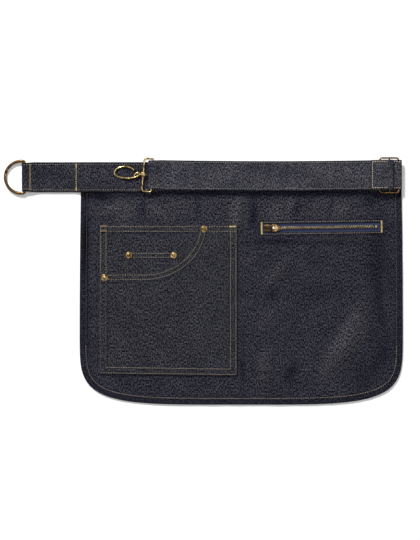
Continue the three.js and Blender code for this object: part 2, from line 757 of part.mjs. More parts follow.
// The loop that the strap holds by its hidden bar at x = 0, with the swivel's boss on its front bar
function makeClipRing() {
  const half = (clipInside + clipWire) / 2;
  const corner = (x, y, radius) => ({ at: new THREE.Vector3(x, y, 0), radius });
  const loop = barAlong(
    roundedLoop([
      corner(0, -half, clipBarCorner),
      corner(0, half, clipBarCorner),
      corner(-clipDepth, half, clipCorner),
      corner(-clipDepth, -half, clipCorner),
    ]),
    clipWire / 2,
    wireSides,
    wireSteps.clipRing,
    true,
  );
  const boss = new THREE.CylinderGeometry(bossHeight / 2, bossHeight / 2, bossLength, roundSides);
  boss.rotateZ(Math.PI / 2).scale(1, bossWidth / bossHeight, 1).translate(-clipDepth, 0, 0);
  const bore = new THREE.CylinderGeometry(swivelPin + clearance, swivelPin + clearance, 3 * bossLength, holeSides);
  bore.rotateZ(Math.PI / 2).translate(-clipDepth, 0, 0);
  return geometryOf(loop.add(solidOf(boss)).subtract(solidOf(bore)));
}

// The bends of the hook's wire, from its nose round the tip and back to the eye: how far along the hook and
// how far across, as shares of its length and width
const hookBends = [
  { along: 0.236, across: 0.354 },
  { along: 0.33, across: 0.476 },
  { along: 0.487, across: 0.571 },
  { along: 0.676, across: 0.558 },
  { along: 0.865, across: 0.408 },
  { along: 1, across: 0.109 },
  { along: 0.994, across: -0.163 },
  { along: 0.855, across: -0.354 },
  { along: 0.645, across: -0.429 },
  { along: 0.393, across: -0.422 },
  { along: 0.173, across: -0.299 },
  { along: 0.038, across: -0.136 },
  { along: -0.013, across: 0.02 },
  { along: 0.044, across: 0.129 },
  { along: 0.132, across: 0.041 },
  { along: 0.201, across: -0.15 },
];

// The hook and its swivel pin turn as one: wire bent into an oval with an eye, welded to the pin's head
function makeClipHook() {
  const headStart = clipDepth + bossLength / 2 + clearance;
  const eyeX = -headStart - hookHeadLength;
  const spots = hookBends.map(
    (bend) => new THREE.Vector3(eyeX - bend.along * hookLength, bend.across * hookWidth, 0),
  );
  const hook = barAlong(new THREE.CatmullRomCurve3(spots), hookWire / 2, wireSides, wireSteps.hook);
  const rivetStart = -clipDepth + bossLength / 2 + clearance;
  const profile = [
    new THREE.Vector2(0, rivetStart + rivetHeadLength),
    new THREE.Vector2(rivetHeadRadius, rivetStart + rivetHeadLength / 2),
    new THREE.Vector2(rivetHeadRadius, rivetStart),
    new THREE.Vector2(swivelPin, rivetStart),
    new THREE.Vector2(swivelPin, -headStart),
    new THREE.Vector2(hookHeadRadius, -headStart),
    new THREE.Vector2(hookHeadRadius, -headStart - hookHeadLength),
    new THREE.Vector2(0, -headStart - hookHeadLength),
  ].reverse();
  const pin = new THREE.LatheGeometry(profile, holeSides).rotateZ(-Math.PI / 2);
  return geometryOf(solidOf(pin).add(hook));
}

// How far the clip leans down from its bar so that the hook's tip comes to rest on the waistband
function clipTilt() {
  const reach = clipDepth + bossLength / 2 + clearance + hookHeadLength + hookLength;
  return Math.asin((clipBarZ - (underClip + hookWire / 2)) / reach);
}

// The pocket's outline, with its bottom edge a little lower on the right
function pocketOutline() {
  return [
    new THREE.Vector2(pocket.left, pocket.top),
    new THREE.Vector2(pocket.left, pocket.bottom + pocketSlant),
    new THREE.Vector2(pocket.right, pocket.bottom),
    new THREE.Vector2(pocket.right, pocket.top),
  ];
}

// The mouth's curved edge from the pocket's top edge down to its left side
function mouthLine() {
  const points = [];
  const steps = 16;
  for (let k = 0; k <= steps; k++) {
    const angle = (Math.PI / 2) * (k / steps);
    const x = pocket.left + mouthFlat + mouthWidth * Math.cos(angle);
    points.push(new THREE.Vector2(x, pocket.top - mouthDepth * Math.sin(angle)));
  }
  points.push(new THREE.Vector2(pocket.left, pocket.top - mouthDepth));
  return points;
}

const patchLevel = (x, y) => panelRise(x, y) + panelPly + clearance;
const coinLevel = (x, y) => patchLevel(x, y) + pocketPly + clearance;
const frontLevel = (x, y) => coinLevel(x, y) + coinLift(x, y);

const rivets = [
  {
    name: "rivet_coin_left",
    x: coin.left + rivetFromMouth,
    y: coin.top - rivetFromHem,
    level: coinLevel,
  },
  {
    name: "rivet_coin_right",
    x: coin.right - rivetFromMouth,
    y: coin.top - rivetFromHem,
    level: coinLevel,
  },
  {
    name: "rivet_mouth_left",
    x: pocket.left + rivetFromSide,
    y: pocket.top - mouthDepth - rivetFromMouth,
    level: frontLevel,
  },
  {
    name: "rivet_mouth_right",
    x: pocket.left + mouthFlat + mouthWidth + rivetFromMouth,
    y: pocket.top - rivetFromMouth,
    level: frontLevel,
  },
];

function pierce(solid, list) {
  const radius = rivetShank + clearance;
  return list.reduce((left, rivet) => {
    const hole = new THREE.CylinderGeometry(radius, radius, cutTop, 10).rotateX(Math.PI / 2);
    return left.subtract(solidOf(hole.translate(rivet.x, rivet.y, 0)));
  }, solid);
}

function ply(box, level, thickness) {
  return slab(box, level, (x, y) => level(x, y) + thickness);
}

function makePocketPatch() {
  return geometryOf(pierce(ply(pocket, patchLevel, pocketPly).intersect(prism(pocketOutline())), rivets));
}

function makeCoinPocket() {
  const own = rivets.filter((rivet) => rivet.level === coinLevel);
  return geometryOf(pierce(ply(coin, coinLevel, pocketPly).intersect(prism(boxOutline(coin))), own));
}

function makePocketFront() {
  const own = rivets.filter((rivet) => rivet.level === frontLevel);
  const above = pocket.top + cutPast;
  const beside = pocket.left - cutPast;
  const mouth = prism([
    new THREE.Vector2(beside, above),
    new THREE.Vector2(beside, pocket.top - mouthDepth),
    ...mouthLine().reverse(),
    new THREE.Vector2(pocket.left + mouthFlat + mouthWidth, above),
  ]);
  const whole = ply(pocket, frontLevel, pocketPly).intersect(prism(pocketOutline()));
  return geometryOf(pierce(whole.subtract(mouth), own));
}

// A domed cap on the cloth with a shank down through the pocket's layers
function makeRivet(rivet) {
  const top = heightOnGrid(rivet.level, rivet.x, rivet.y) + pocketPly + clearance;
  const foot = heightOnGrid(patchLevel, rivet.x, rivet.y);
  const profile = [
    new THREE.Vector2(0, foot),
    new THREE.Vector2(rivetShank, foot),
    new THREE.Vector2(rivetShank, top),
    new THREE.Vector2(rivetRadius, top),
    new THREE.Vector2(rivetRadius * rivetShoulder, top + rivetHeight * rivetRim),
    new THREE.Vector2(rivetRadius * rivetTop, top + rivetHeight),
    new THREE.Vector2(0, top + rivetHeight),
  ];
  const geometry = new THREE.LatheGeometry(profile, holeSides).rotateX(Math.PI / 2);
  return geometryOf(solidOf(geometry.translate(rivet.x, rivet.y, 0)));
}

const chainZ = tapePly + clearance;
const chainTop = chainZ + toothHeight;

// Zip pieces are made along X about the window's middle and turned with it
function placeZip(solid) {
  const geometry = geometryOf(solid);
  geometry.rotateZ(THREE.MathUtils.degToRad(zipTilt));
  return geometry.translate(zipCentre.x, zipCentre.y, 0);
}

function block(left, right, halfWidth, bottom, top) {
  return prism(boxOutline({ left, right, bottom: -halfWidth, top: halfWidth }), bottom, top);
}

function makeTape() {
  const half = zipWindowLength / 2 + tapeOverlap;
  return placeZip(block(-half, half, tapeWidth / 2, 0, tapePly));
}

const zipSliderLeft = -zipWindowLength / 2 + zipSliderFromEnd;
const chainRight = zipWindowLength / 2 - chainEndGap;

// The closed chain: a narrow line of interlocked heads with teeth reaching out to each side in turn
function makeTeeth() {
  const left = zipSliderLeft + zipSliderLength / 3;
  let chain = block(left, chainRight, chainCore / 2, chainZ, chainTop);
  const count = Math.floor((chainRight - left) / toothPitch);
  for (let k = 0; k < count; k++) {
    const x = left + k * toothPitch + toothWidth / 2;
    const tooth = new THREE.BoxGeometry(toothWidth, 2 * toothReach, toothHeight - 2 * toothStep);
    chain = chain.add(solidOf(tooth.translate(x, 0, chainZ + toothHeight / 2)));
  }
  return placeZip(chain);
}

function makeStop() {
  const left = chainRight + 2 * clearance;
  return placeZip(block(left, left + stopLength, stopWidth / 2, chainZ, chainTop));
}

const plateBottom = chainTop + clearance;
const plateTop = plateBottom + zipSliderPlate;
const pullPivotZ = plateTop + pullLift + pullThickness / 2;
const crownInside = Math.hypot(pullThickness, pullBar) / 2 + clearance;
const crownOutside = crownInside + crownWall;
const pullPivotX = zipSliderLeft + crownOutside + crownRoot;

// The slider's body over the chain: a plate, a wall on each side, and the crown that holds the pull
function makeZipSlider() {
  const nose = zipSliderWidth * zipSliderNose;
  const right = zipSliderLeft + zipSliderLength;
  const outline = [
    new THREE.Vector2(zipSliderLeft, -zipSliderWidth / 2),
    new THREE.Vector2(right, -nose / 2),
    new THREE.Vector2(right, nose / 2),
    new THREE.Vector2(zipSliderLeft, zipSliderWidth / 2),
  ];
  const channel = toothReach + 2 * clearance;
  const body = prism(outline, chainZ, plateTop).subtract(
    block(zipSliderLeft - cutPast, right + cutPast, channel, chainZ - cutPast, plateBottom),
  );
  const arch = new THREE.CylinderGeometry(crownOutside, crownOutside, crownWidth, roundSides);
  const gap = new THREE.CylinderGeometry(crownInside, crownInside, 2 * crownWidth, roundSides);
  arch.translate(pullPivotX, 0, pullPivotZ);
  gap.translate(pullPivotX, 0, pullPivotZ);
  const feet = block(
    pullPivotX - crownOutside,
    pullPivotX + crownOutside,
    crownWidth / 2,
    plateTop - crownRoot,
    pullPivotZ,
  );
  const crown = solidOf(arch).add(feet).subtract(solidOf(gap));
  return placeZip(body.add(crown));
}

// How far the pull leans down from the crown so that its tip rests on the panel beside the window
function pullTilt() {
  const rest = tapePly + clearance + panelPly + clearance + pullThickness / 2;
  return Math.asin((pullPivotZ - rest) / pullLength);
}

// A flat tab with a bar at one end that passes under the crown, and a slot near the other
function makePull() {
  const half = pullThickness / 2;
  const barHalf = pullBar / 2;
  const tabEnd = -pullLength;
  const eyeHalf = pullWindowWidth / 2 + pullEyeWall;
  const side = pullWidth / 2;
  const outline = [
    new THREE.Vector2(barHalf, -eyeHalf),
    new THREE.Vector2(barHalf, eyeHalf),
    new THREE.Vector2(-pullWindow, eyeHalf),
    new THREE.Vector2(-pullWindow - pullShoulder, side),
    new THREE.Vector2(tabEnd + pullCorner, side),
    new THREE.Vector2(tabEnd, side - pullCorner),
    new THREE.Vector2(tabEnd, -side + pullCorner),
    new THREE.Vector2(tabEnd + pullCorner, -side),
    new THREE.Vector2(-pullWindow - pullShoulder, -side),
    new THREE.Vector2(-pullWindow, -eyeHalf),
  ];
  const window = block(-pullWindow, -barHalf, pullWindowWidth / 2, cutBottom, cutTop);
  const slotEnd = tabEnd + pullSlotFromTip;
  const slot = block(slotEnd, slotEnd + pullSlotLength, pullSlotWidth / 2, cutBottom, cutTop);
  return geometryOf(prism(outline, -half, half).subtract(window).subtract(slot));
}

const apron = new THREE.Group();
addPiece(apron, "panel", makePanel(), denim);
addPiece(apron, "waistband", makeWaistband(), denim);
addPiece(apron, "strap", makeStrap(), lightDenim);
addPiece(apron, "pocket_patch", makePocketPatch(), denim);
addPiece(apron, "coin_pocket", makeCoinPocket(), denim);
addPiece(apron, "pocket_front", makePocketFront(), denim);
rivets.forEach((rivet) => addPiece(apron, rivet.name, makeRivet(rivet), brass));
addPiece(apron, "zip_tape", makeTape(), tapeNavy);
addPiece(apron, "zip_teeth", makeTeeth(), brass);
addPiece(apron, "zip_stop", makeStop(), brass);
addPiece(apron, "zip_slider", makeZipSlider(), brass);

const dRing = new THREE.Group();
dRing.position.set(dRingBarX, bandMiddle, dRingBarZ);
dRing.rotation.y = -dRingTilt();
addPiece(dRing, "d_ring", geometryOf(makeDRing()), bronze);
apron.add(dRing);

const slider = new THREE.Group();
slider.position.set(sliderX, bandMiddle + strapRise - sliderDrop, outerBarZ);
addPiece(slider, "slider_buckle", makeSlider(), bronze);
apron.add(slider);

const clip = new THREE.Group();
clip.position.set(clipBarX, bandMiddle + strapRise - clipDrop, clipBarZ);
clip.rotation.order = "ZYX";
clip.rotation.z = -THREE.MathUtils.degToRad(clipYaw);
clip.rotation.y = -clipTilt();
addPiece(clip, "clip_ring", makeClipRing(), brass);
addPiece(clip, "clip_hook", makeClipHook(), brass);
apron.add(clip);

const pull = new THREE.Group();
const pullSpot = new THREE.Vector3(pullPivotX, 0, pullPivotZ);
pullSpot.applyAxisAngle(new THREE.Vector3(0, 0, 1), THREE.MathUtils.degToRad(zipTilt));
pull.position.set(zipCentre.x + pullSpot.x, zipCentre.y + pullSpot.y, pullSpot.z);
pull.rotation.order = "ZYX";
pull.rotation.z = THREE.MathUtils.degToRad(zipTilt);
pull.rotation.y = -pullTilt();
addPiece(pull, "zip_pull", makePull(), brass);
apron.add(pull);

export default apron;
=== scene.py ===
import json
import math

import bmesh
import bpy
import numpy as np
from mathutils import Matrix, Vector


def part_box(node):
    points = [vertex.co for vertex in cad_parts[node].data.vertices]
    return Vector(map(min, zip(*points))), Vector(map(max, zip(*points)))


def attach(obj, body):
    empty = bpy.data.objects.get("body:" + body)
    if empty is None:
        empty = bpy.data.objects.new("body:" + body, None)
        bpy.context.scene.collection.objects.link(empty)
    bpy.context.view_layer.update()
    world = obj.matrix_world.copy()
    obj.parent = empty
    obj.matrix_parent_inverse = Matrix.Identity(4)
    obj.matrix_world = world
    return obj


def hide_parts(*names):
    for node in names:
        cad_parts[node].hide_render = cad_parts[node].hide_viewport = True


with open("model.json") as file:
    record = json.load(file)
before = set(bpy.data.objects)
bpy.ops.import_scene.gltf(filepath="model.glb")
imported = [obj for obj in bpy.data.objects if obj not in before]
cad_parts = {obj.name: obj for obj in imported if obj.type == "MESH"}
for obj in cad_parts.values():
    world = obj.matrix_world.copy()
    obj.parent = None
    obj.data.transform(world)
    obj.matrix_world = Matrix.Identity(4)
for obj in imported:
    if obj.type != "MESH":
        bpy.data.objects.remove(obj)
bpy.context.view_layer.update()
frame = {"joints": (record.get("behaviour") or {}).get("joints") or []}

mm = 0.001


# A CAD node's low and high corner, in millimetres
def nodeBox(name):
    low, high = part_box(name)
    return np.array(low) / mm, np.array(high) / mm


def jointPlace(name):
    found = [joint for joint in frame["joints"] if joint["name"] == name]
    return np.array(found[0]["pos_m"]) / mm


# 0 below the start, 1 past the end and level at both: three times the share squared less twice its cube
def smoothStep(value, start, end):
    share = np.clip((value - start) / (end - start), 0, 1)
    return share * share * (3 - 2 * share)


# 1 up to the near distance and 0 past the far one
def within(distance, near, far):
    return 1 - smoothStep(distance, near, far)


# 1 inside a box, falling to 0 over the slope around it
def plateau(x, y, box, slope):
    left, right, bottom, top = box
    outX = np.maximum(np.maximum(left - x, x - right), 0)
    outY = np.maximum(np.maximum(bottom - y, y - top), 0)
    return within(np.hypot(outX, outY), 0, slope)


# 0 at an edge, rising on a quarter circle to 1 at the given distance inside it
def roundOff(inset, radius):
    return np.sqrt(1 - (1 - np.clip(inset / radius, 0, 1)) ** 2)


# 1 in the middle of a narrow line: exp of minus the squared distance in widths
def dent(distance, width):
    return np.exp(-((distance / width) ** 2))


# Twice the mean of some sine waves with seeded directions, phases and lengths about the size
def softNoise(x, y, size, seed, waves=8):
    draw = np.random.default_rng(seed)
    turn = draw.uniform(0, 2 * np.pi, waves)
    phase = draw.uniform(0, 2 * np.pi, waves)
    length = size * draw.uniform(0.7, 1.5, waves)
    across = x[..., None] * np.cos(turn) + y[..., None] * np.sin(turn)
    return np.sin(2 * np.pi * across / length + phase).mean(axis=-1) * 2


# The apron's own places, from the frame
panelLow, panelHigh = nodeBox("panel")
bandLow, bandHigh = nodeBox("waistband")
halfWidth = panelHigh[0]
panelWide = 2 * halfWidth
panelBottom = panelLow[1]
panelTop = panelHigh[1]
bandBottom = bandLow[1]
bandTop = bandHigh[1]
panelLength = bandBottom - panelBottom

cloth = {
    "gap": 0.3,
    "ply": 1.0,
    "bandPly": 1.2,
    "strapPly": 1.8,
    "foldHeight": 3.0,
    "bandSlope": 14,
    "zipSlope": 10,
    "liftSlope": 5,
    "waves": ((0.22, 46, 3), (0.1, 19, 4)),  # lift, size and seed
}

# Folds of the frame: across and down as shares of the panel, long, wide, turn in degrees, lift
folds = [
    (-0.405, 0.085, 0.13, 0.065, 35, 0.6),
    (-0.355, 0.1, 0.11, 0.06, 80, 0.5),
    (-0.255, 0.095, 0.15, 0.065, -35, 0.55),
    (-0.02, 0.13, 0.24, 0.065, 82, 0.7),
    (0.155, 0.075, 0.12, 0.06, 78, 0.45),
    (0.3, 0.075, 0.12, 0.06, 62, 0.6),
    (0.1, 0.38, 0.18, 0.07, 52, 0.45),
    (0.075, 0.6, 0.15, 0.065, 60, 0.4),
    (0.07, 0.82, 0.24, 0.08, 80, 0.5),
    (0.33, 0.7, 0.46, 0.13, 58, 0.9),
]
foldRows = [
    (across * panelWide, bandBottom - down * panelLength, length * panelWide, width * panelWide, turn, lift)
    for across, down, length, width, turn, lift in folds
]

# Smaller creases that the cloth keeps between them: middle, length, width, turn, lift
creases = [
    (-168, 116, 44, 17, 38, 0.7),
    (-108, 112, 40, 16, -38, 0.6),
    (-78, 121, 46, 13, 8, 0.45),
    (-4, 110, 58, 15, 84, 0.8),
    (18, 120, 30, 12, 70, 0.35),
    (62, 117, 34, 12, 82, 0.6),
    (111, 118, 34, 12, 80, 0.5),
    (138, 119, 38, 13, 64, 0.9),
    (176, 116, 36, 15, 55, 0.5),
    (13, 52, 46, 13, 47, 0.6),
    (44, 30, 68, 15, 51, 0.7),
    (35, -26, 46, 13, 60, 0.5),
    (28, -88, 78, 16, 86, 0.7),
    (6, -92, 70, 12, 88, 0.3),
    (132, -52, 168, 26, 58, 0.95),
    (172, -70, 90, 20, 66, 0.5),
    (76, -98, 60, 17, 40, 0.5),
    (-193, 40, 120, 11, 88, 0.5),
    (-56, -17, 96, 15, 43, 0.5),
    (-160, -46, 84, 13, 86, 0.35),
    (-79, -67, 60, 12, 84, 0.35),
    (-52, -67, 56, 12, 80, 0.35),
    (-112, 8, 60, 14, 30, 0.3),
    (-30, 60, 60, 14, 100, 0.3),
    (188, 10, 110, 14, 96, 0.45),
]

zipWindow = {
    "length": 153.4,
    "width": 11.8,
    "fromSide": 28.8,
    "drop": 45.7,
    "tilt": math.radians(0.8),
    "tapePast": 5,
    "tapeHalf": 13,
}
zipX = halfWidth - zipWindow["fromSide"] - zipWindow["length"] / 2
zipY = bandBottom - zipWindow["drop"]
tapeHalf = np.array([zipWindow["length"] / 2 + zipWindow["tapePast"], zipWindow["tapeHalf"]])
tiltRise = tapeHalf[0] * math.sin(zipWindow["tilt"])
zipBox = (
    zipX - tapeHalf[0] - 1,
    zipX + tapeHalf[0] + 1,
    zipY - tapeHalf[1] - tiltRise,
    zipY + tapeHalf[1] + tiltRise,
)


# A ridge: the squared cosines along and across it multiplied, exactly zero at its rim
def ridge(x, y, middleX, middleY, length, width, turn):
    angle = math.radians(turn)
    along = ((x - middleX) * math.cos(angle) + (y - middleY) * math.sin(angle)) * 2 / length
    aside = ((y - middleY) * math.cos(angle) - (x - middleX) * math.sin(angle)) * 2 / width
    inside = (np.abs(along) < 1) & (np.abs(aside) < 1)
    return np.where(inside, np.cos(along * np.pi / 2) ** 2 * np.cos(aside * np.pi / 2) ** 2, 0)


# The sum of some ridges, each times the last number of its row
def ridges(x, y, rows):
    total = x * 0
    for *place, lift in rows:
        total = total + lift * ridge(x, y, *place)
    return total


# How far the panel's underside stands off the surface: the frame's folds, the smaller creases and a
# low waviness, all faded out under the waistband and round the zip
def clothRise(x, y):
    band = smoothStep(y, bandBottom - cloth["bandSlope"], bandBottom)
    zipPart = plateau(x, y, zipBox, cloth["zipSlope"])
    waves = sum(lift * (1 + softNoise(x, y, size, seed)) for lift, size, seed in cloth["waves"])
    rise = waves + cloth["foldHeight"] * ridges(x, y, foldRows) + ridges(x, y, creases)
    lifted = (cloth["bandPly"] + cloth["gap"]) * band + (cloth["ply"] + cloth["gap"]) * zipPart
    return lifted + rise * (1 - band) * (1 - zipPart)


# Painted shade in the folds' hollows, or painted light where the share is below 0: middle, length, width,
# turn, share
paintedShadeAndLight = [
    (-202, 72, 150, 15, 90, 0.4),
    (-199, -30, 190, 13, 90, 0.14),
    (-184, 132, 56, 22, -8, 0.45),
    (-128, 118, 46, 17, 84, 0.34),
    (-56, 118, 46, 15, 86, 0.26),
    (16, 110, 66, 18, 86, 0.6),
    (72, 118, 44, 15, 82, 0.36),
    (116, 118, 40, 12, 80, 0.3),
    (165, 126, 52, 20, 0, 0.3),
    (-158, 114, 60, 26, 72, -0.17),
    (-90, 113, 60, 36, 90, -0.12),
    (-8, 110, 70, 24, 86, -0.17),
    (44, 117, 46, 28, 80, -0.18),
    (97, 117, 42, 18, 78, -0.16),
    (132, 117, 38, 16, 74, -0.18),
    (44, 74, 92, 14, 0, 0.42),
    (116, 72, 110, 12, 0, 0.2),
    (41, 5, 34, 26, 50, 0.3),
    (2, -93, 66, 12, 90, 0.4),
    (66, -97, 48, 28, 60, 0.45),
    (104, 8, 90, 46, 20, 0.15),
    (178, 34, 300, 50, 92, 0.36),
    (172, -84, 130, 56, 56, 0.3),
]


# Gains of the cloth's fading and painted light and shade: fold and crease lighten the ridges, partly real
# fading and partly painted light; hollow sets the painted shade and light patches; glow is painted light on
# the upper part; bandShade is the painted shadow under the strap
fadeAndShadeGains = {
    "fold": 0.42,
    "crease": 0.5,
    "hollow": 1.35,
    "glow": 0.16,
    "glowRows": (88, 112),  # heights where the painted light on the upper part begins and is full
    "bandShade": 0.55,
    "bandRows": (127, 136),  # the same for the painted shadow under the strap
    "range": (-0.75, 0.8),
}


# The share by which the cloth is lighter on its ridges, partly real fading and partly painted light, darker
# by painted shade in its hollows and by a painted shadow under the strap, and lighter by painted light on
# its upper part
def clothFadeAndShade(x, y):
    fadeAndShade = fadeAndShadeGains["fold"] * ridges(x, y, foldRows) + fadeAndShadeGains["crease"] * ridges(x, y, creases)
    fadeAndShade = fadeAndShade - fadeAndShadeGains["hollow"] * ridges(x, y, paintedShadeAndLight)
    # Painted light over the upper part, and the painted shadow under the strap
    glow = fadeAndShadeGains["glow"] * smoothStep(y, *fadeAndShadeGains["glowRows"])
    paintedShade = fadeAndShadeGains["bandShade"] * smoothStep(y, *fadeAndShadeGains["bandRows"])
    return np.clip(fadeAndShade + glow - paintedShade, *fadeAndShadeGains["range"])


# Meshes

# Lines from low to high a step apart, with closer ones on both sides of each edge
def gridLines(low, high, step, edges, near):
    offsets = np.concatenate([-np.array(near), near])
    wanted = (np.array(edges)[:, None] + offsets).ravel()
    wanted = np.unique(np.round([low, high, *wanted[(wanted > low) & (wanted < high)]], 4))
    even = np.linspace(low, high, round((high - low) / step) + 1)
    free = np.abs(even[:, None] - wanted).min(axis=1) > step / 3
    return np.sort([*wanted, *even[free]])


# Faces of a grid and of its turned copy, with walls round the outside and round any hole in it
def shellFaces(rows, columns, keep=None):
    number = np.arange(rows * columns).reshape(rows, columns)
    quads = np.stack([number[:-1, :-1], number[:-1, 1:], number[1:, 1:], number[1:, :-1]], axis=-1)
    quads = quads.reshape(-1, 4) if keep is None else quads[keep]
    start = quads.ravel()
    end = np.roll(quads, -1, axis=1).ravel()
    total = rows * columns
    rim = ~np.isin(start * total + end, end * total + start)  # an edge that no neighbour runs back along
    walls = np.stack([end[rim], start[rim], start[rim] + total, end[rim] + total], axis=-1)
    return np.concatenate([quads, quads[:, ::-1] + total, walls])


# Two height fields over one grid of places, as a closed sheet
def closedSheet(x, y, top, bottom, keep=None):
    upper = np.stack([x, y, top], axis=-1).reshape(-1, 3)
    lower = np.stack([x, y, bottom], axis=-1).reshape(-1, 3)
    return np.concatenate([upper, lower]), shellFaces(*x.shape, keep)


# Faces of a grid of rings: each ring joined to the next, and the last to the first where it is closed
def ringFaces(rings, sides, closed=False):
    count = rings if closed else rings - 1
    ring, side = np.meshgrid(np.arange(count), np.arange(sides), indexing="ij")
    nextRing = (ring + 1) % rings
    nextSide = (side + 1) % sides
    near = [ring * sides + side, ring * sides + nextSide]
    far = [nextRing * sides + nextSide, nextRing * sides + side]
    return np.stack(near + far, axis=-1).reshape(-1, 4)


# A mesh piece on a body, with its doubles merged, its faces turned outwards and its attributes set.
# replaced names the CAD node that it stands for, and sharp the angle past which its edges stay sharp.
def addPiece(name, points, faces, material, body, attributes=None, replaced=None, slot=None, sharp=None):
    used, inverse = np.unique(faces, return_inverse=True)
    mesh = bpy.data.meshes.new(name)
    mesh.from_pydata(points[used] * mm, [], inverse.reshape(faces.shape).tolist())
    for key, values in (attributes or {}).items():
        kind, field = ("FLOAT", "value") if values.ndim == 1 else ("FLOAT_VECTOR", "vector")
        layer = mesh.attributes.new(key, kind, "POINT")
        layer.data.foreach_set(field, values[used].astype(np.float32).ravel())
    work = bmesh.new()
    work.from_mesh(mesh)
    bmesh.ops.remove_doubles(work, verts=work.verts, dist=2e-6)
    bmesh.ops.recalc_face_normals(work, faces=work.faces)
    work.to_mesh(mesh)
    work.free()
    mesh.shade_smooth()
    if sharp:
        mesh.set_sharp_from_angle(angle=math.radians(sharp))
    mesh.materials.append(material)
    piece = bpy.data.objects.new(name, mesh)
    bpy.context.scene.collection.objects.link(piece)
    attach(piece, body)
    if replaced:
        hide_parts(replaced)
    return piece


# Turns points about Y by the tilt, about Z by the yaw, and moves them to a place
def placed(points, origin, yaw=0.0, tilt=0.0):
    x, y, z = points.T
    leanX = x * math.cos(tilt) - z * math.sin(tilt)
    leanZ = x * math.sin(tilt) + z * math.cos(tilt)
    turnedX = leanX * math.cos(yaw) - y * math.sin(yaw)
    turnedY = leanX * math.sin(yaw) + y * math.cos(yaw)
    return np.stack([turnedX, turnedY, leanZ], axis=-1) + origin


# Materials

# A node with its settings, and each input a number or another node's socket
def addNode(tree, kind, inputs=None, **settings):
    node = tree.nodes.new(kind)
    for key, value in settings.items():
        setattr(node, key, value)
    for key, value in (inputs or {}).items():
        feed(tree, node.inputs[key], value)
    return node


def feed(tree, socket, value):
    if isinstance(value, bpy.types.NodeSocket):
        tree.links.new(value, socket)
    else:
        socket.default_value = value


def newMaterial(name):
    material = bpy.data.materials.new(name)
    material.use_nodes = True
    tree = material.node_tree
    shader = tree.nodes["Principled BSDF"]
    return material, tree, shader


def scaled(tree, vector, scale):
    return addNode(tree, "ShaderNodeMapping", {"Vector": vector, "Scale": scale}).outputs["Vector"]


def noise(tree, vector, scale, detail=2.0, roughness=0.5):
    inputs = {"Vector": vector, "Scale": scale, "Detail": detail, "Roughness": roughness}
    return addNode(tree, "ShaderNodeTexNoise", inputs).outputs["Fac"]


def remap(tree, value, low, high, toLow=0.0, toHigh=1.0):
    inputs = {"Value": value, "From Min": low, "From Max": high, "To Min": toLow, "To Max": toHigh}
    return addNode(tree, "ShaderNodeMapRange", inputs).outputs["Result"]


def calc(tree, operation, first, second):
    node = addNode(tree, "ShaderNodeMath", {0: first, 1: second}, operation=operation)
    return node.outputs["Value"]


def times(tree, first, second):
    return calc(tree, "MULTIPLY", first, second)


def plus(tree, first, second):
    return calc(tree, "ADD", first, second)


# Inputs 0, 6 and 7 are the factor and the two colours, and output 2 the mixed colour
def mixColour(tree, factor, first, second, blend="MIX"):
    inputs = {0: factor, 6: first, 7: second}
    node = tree.nodes.new("ShaderNodeMix")
    node.data_type = "RGBA"
    node.blend_type = blend
    for key, value in inputs.items():
        feed(tree, node.inputs[key], value)
    return node.outputs[2]


def bump(tree, height, strength, distance):
    inputs = {"Height": height, "Strength": strength, "Distance": distance}
    return addNode(tree, "ShaderNodeBump", inputs).outputs["Normal"]


def setInputs(shader, values):
    for key, value in values.items():
        shader.inputs[key].default_value = value


# Denim: diagonal twill lines, slubs along the warp, light flecks of weft, slow mottling and worn edges.
# The cloth attribute holds each point's place in the cloth in millimetres, wear is 1 on worn edges, and the
# third attribute lightens or darkens the cloth by its share: partly real fading and mottling, partly
# painted light and painted shade, with a bluer tint where shade is painted. Scales are in turns a
# millimetre.
denimWeave = {
    "pitch": 0.85,
    "lean": math.radians(63),
    "wobble": 0.9,  # how far a twill line strays
    "wobbleScale": 0.35,
    "fleckSize": 1.2,
    "fleckShare": 0.62,
    "speckSize": 0.8,
    "speckShare": 0.38,
    "slubSize": 0.6,
    "slowScale": 0.03,
    "patchScale": 0.11,
    "hueScale": 1.1,
    "bumpDepth": 0.0002,
    "hollowCast": (0.92, 0.96, 1.12, 1),  # bluer where painted shade darkens the cloth
    "foldCast": (1.06, 1.04, 0.92, 1),  # greyer where real fading and painted light make it pale
    "warmth": (1.0, 0.97, 0.9, 1),
    "balance": 0.5,
}


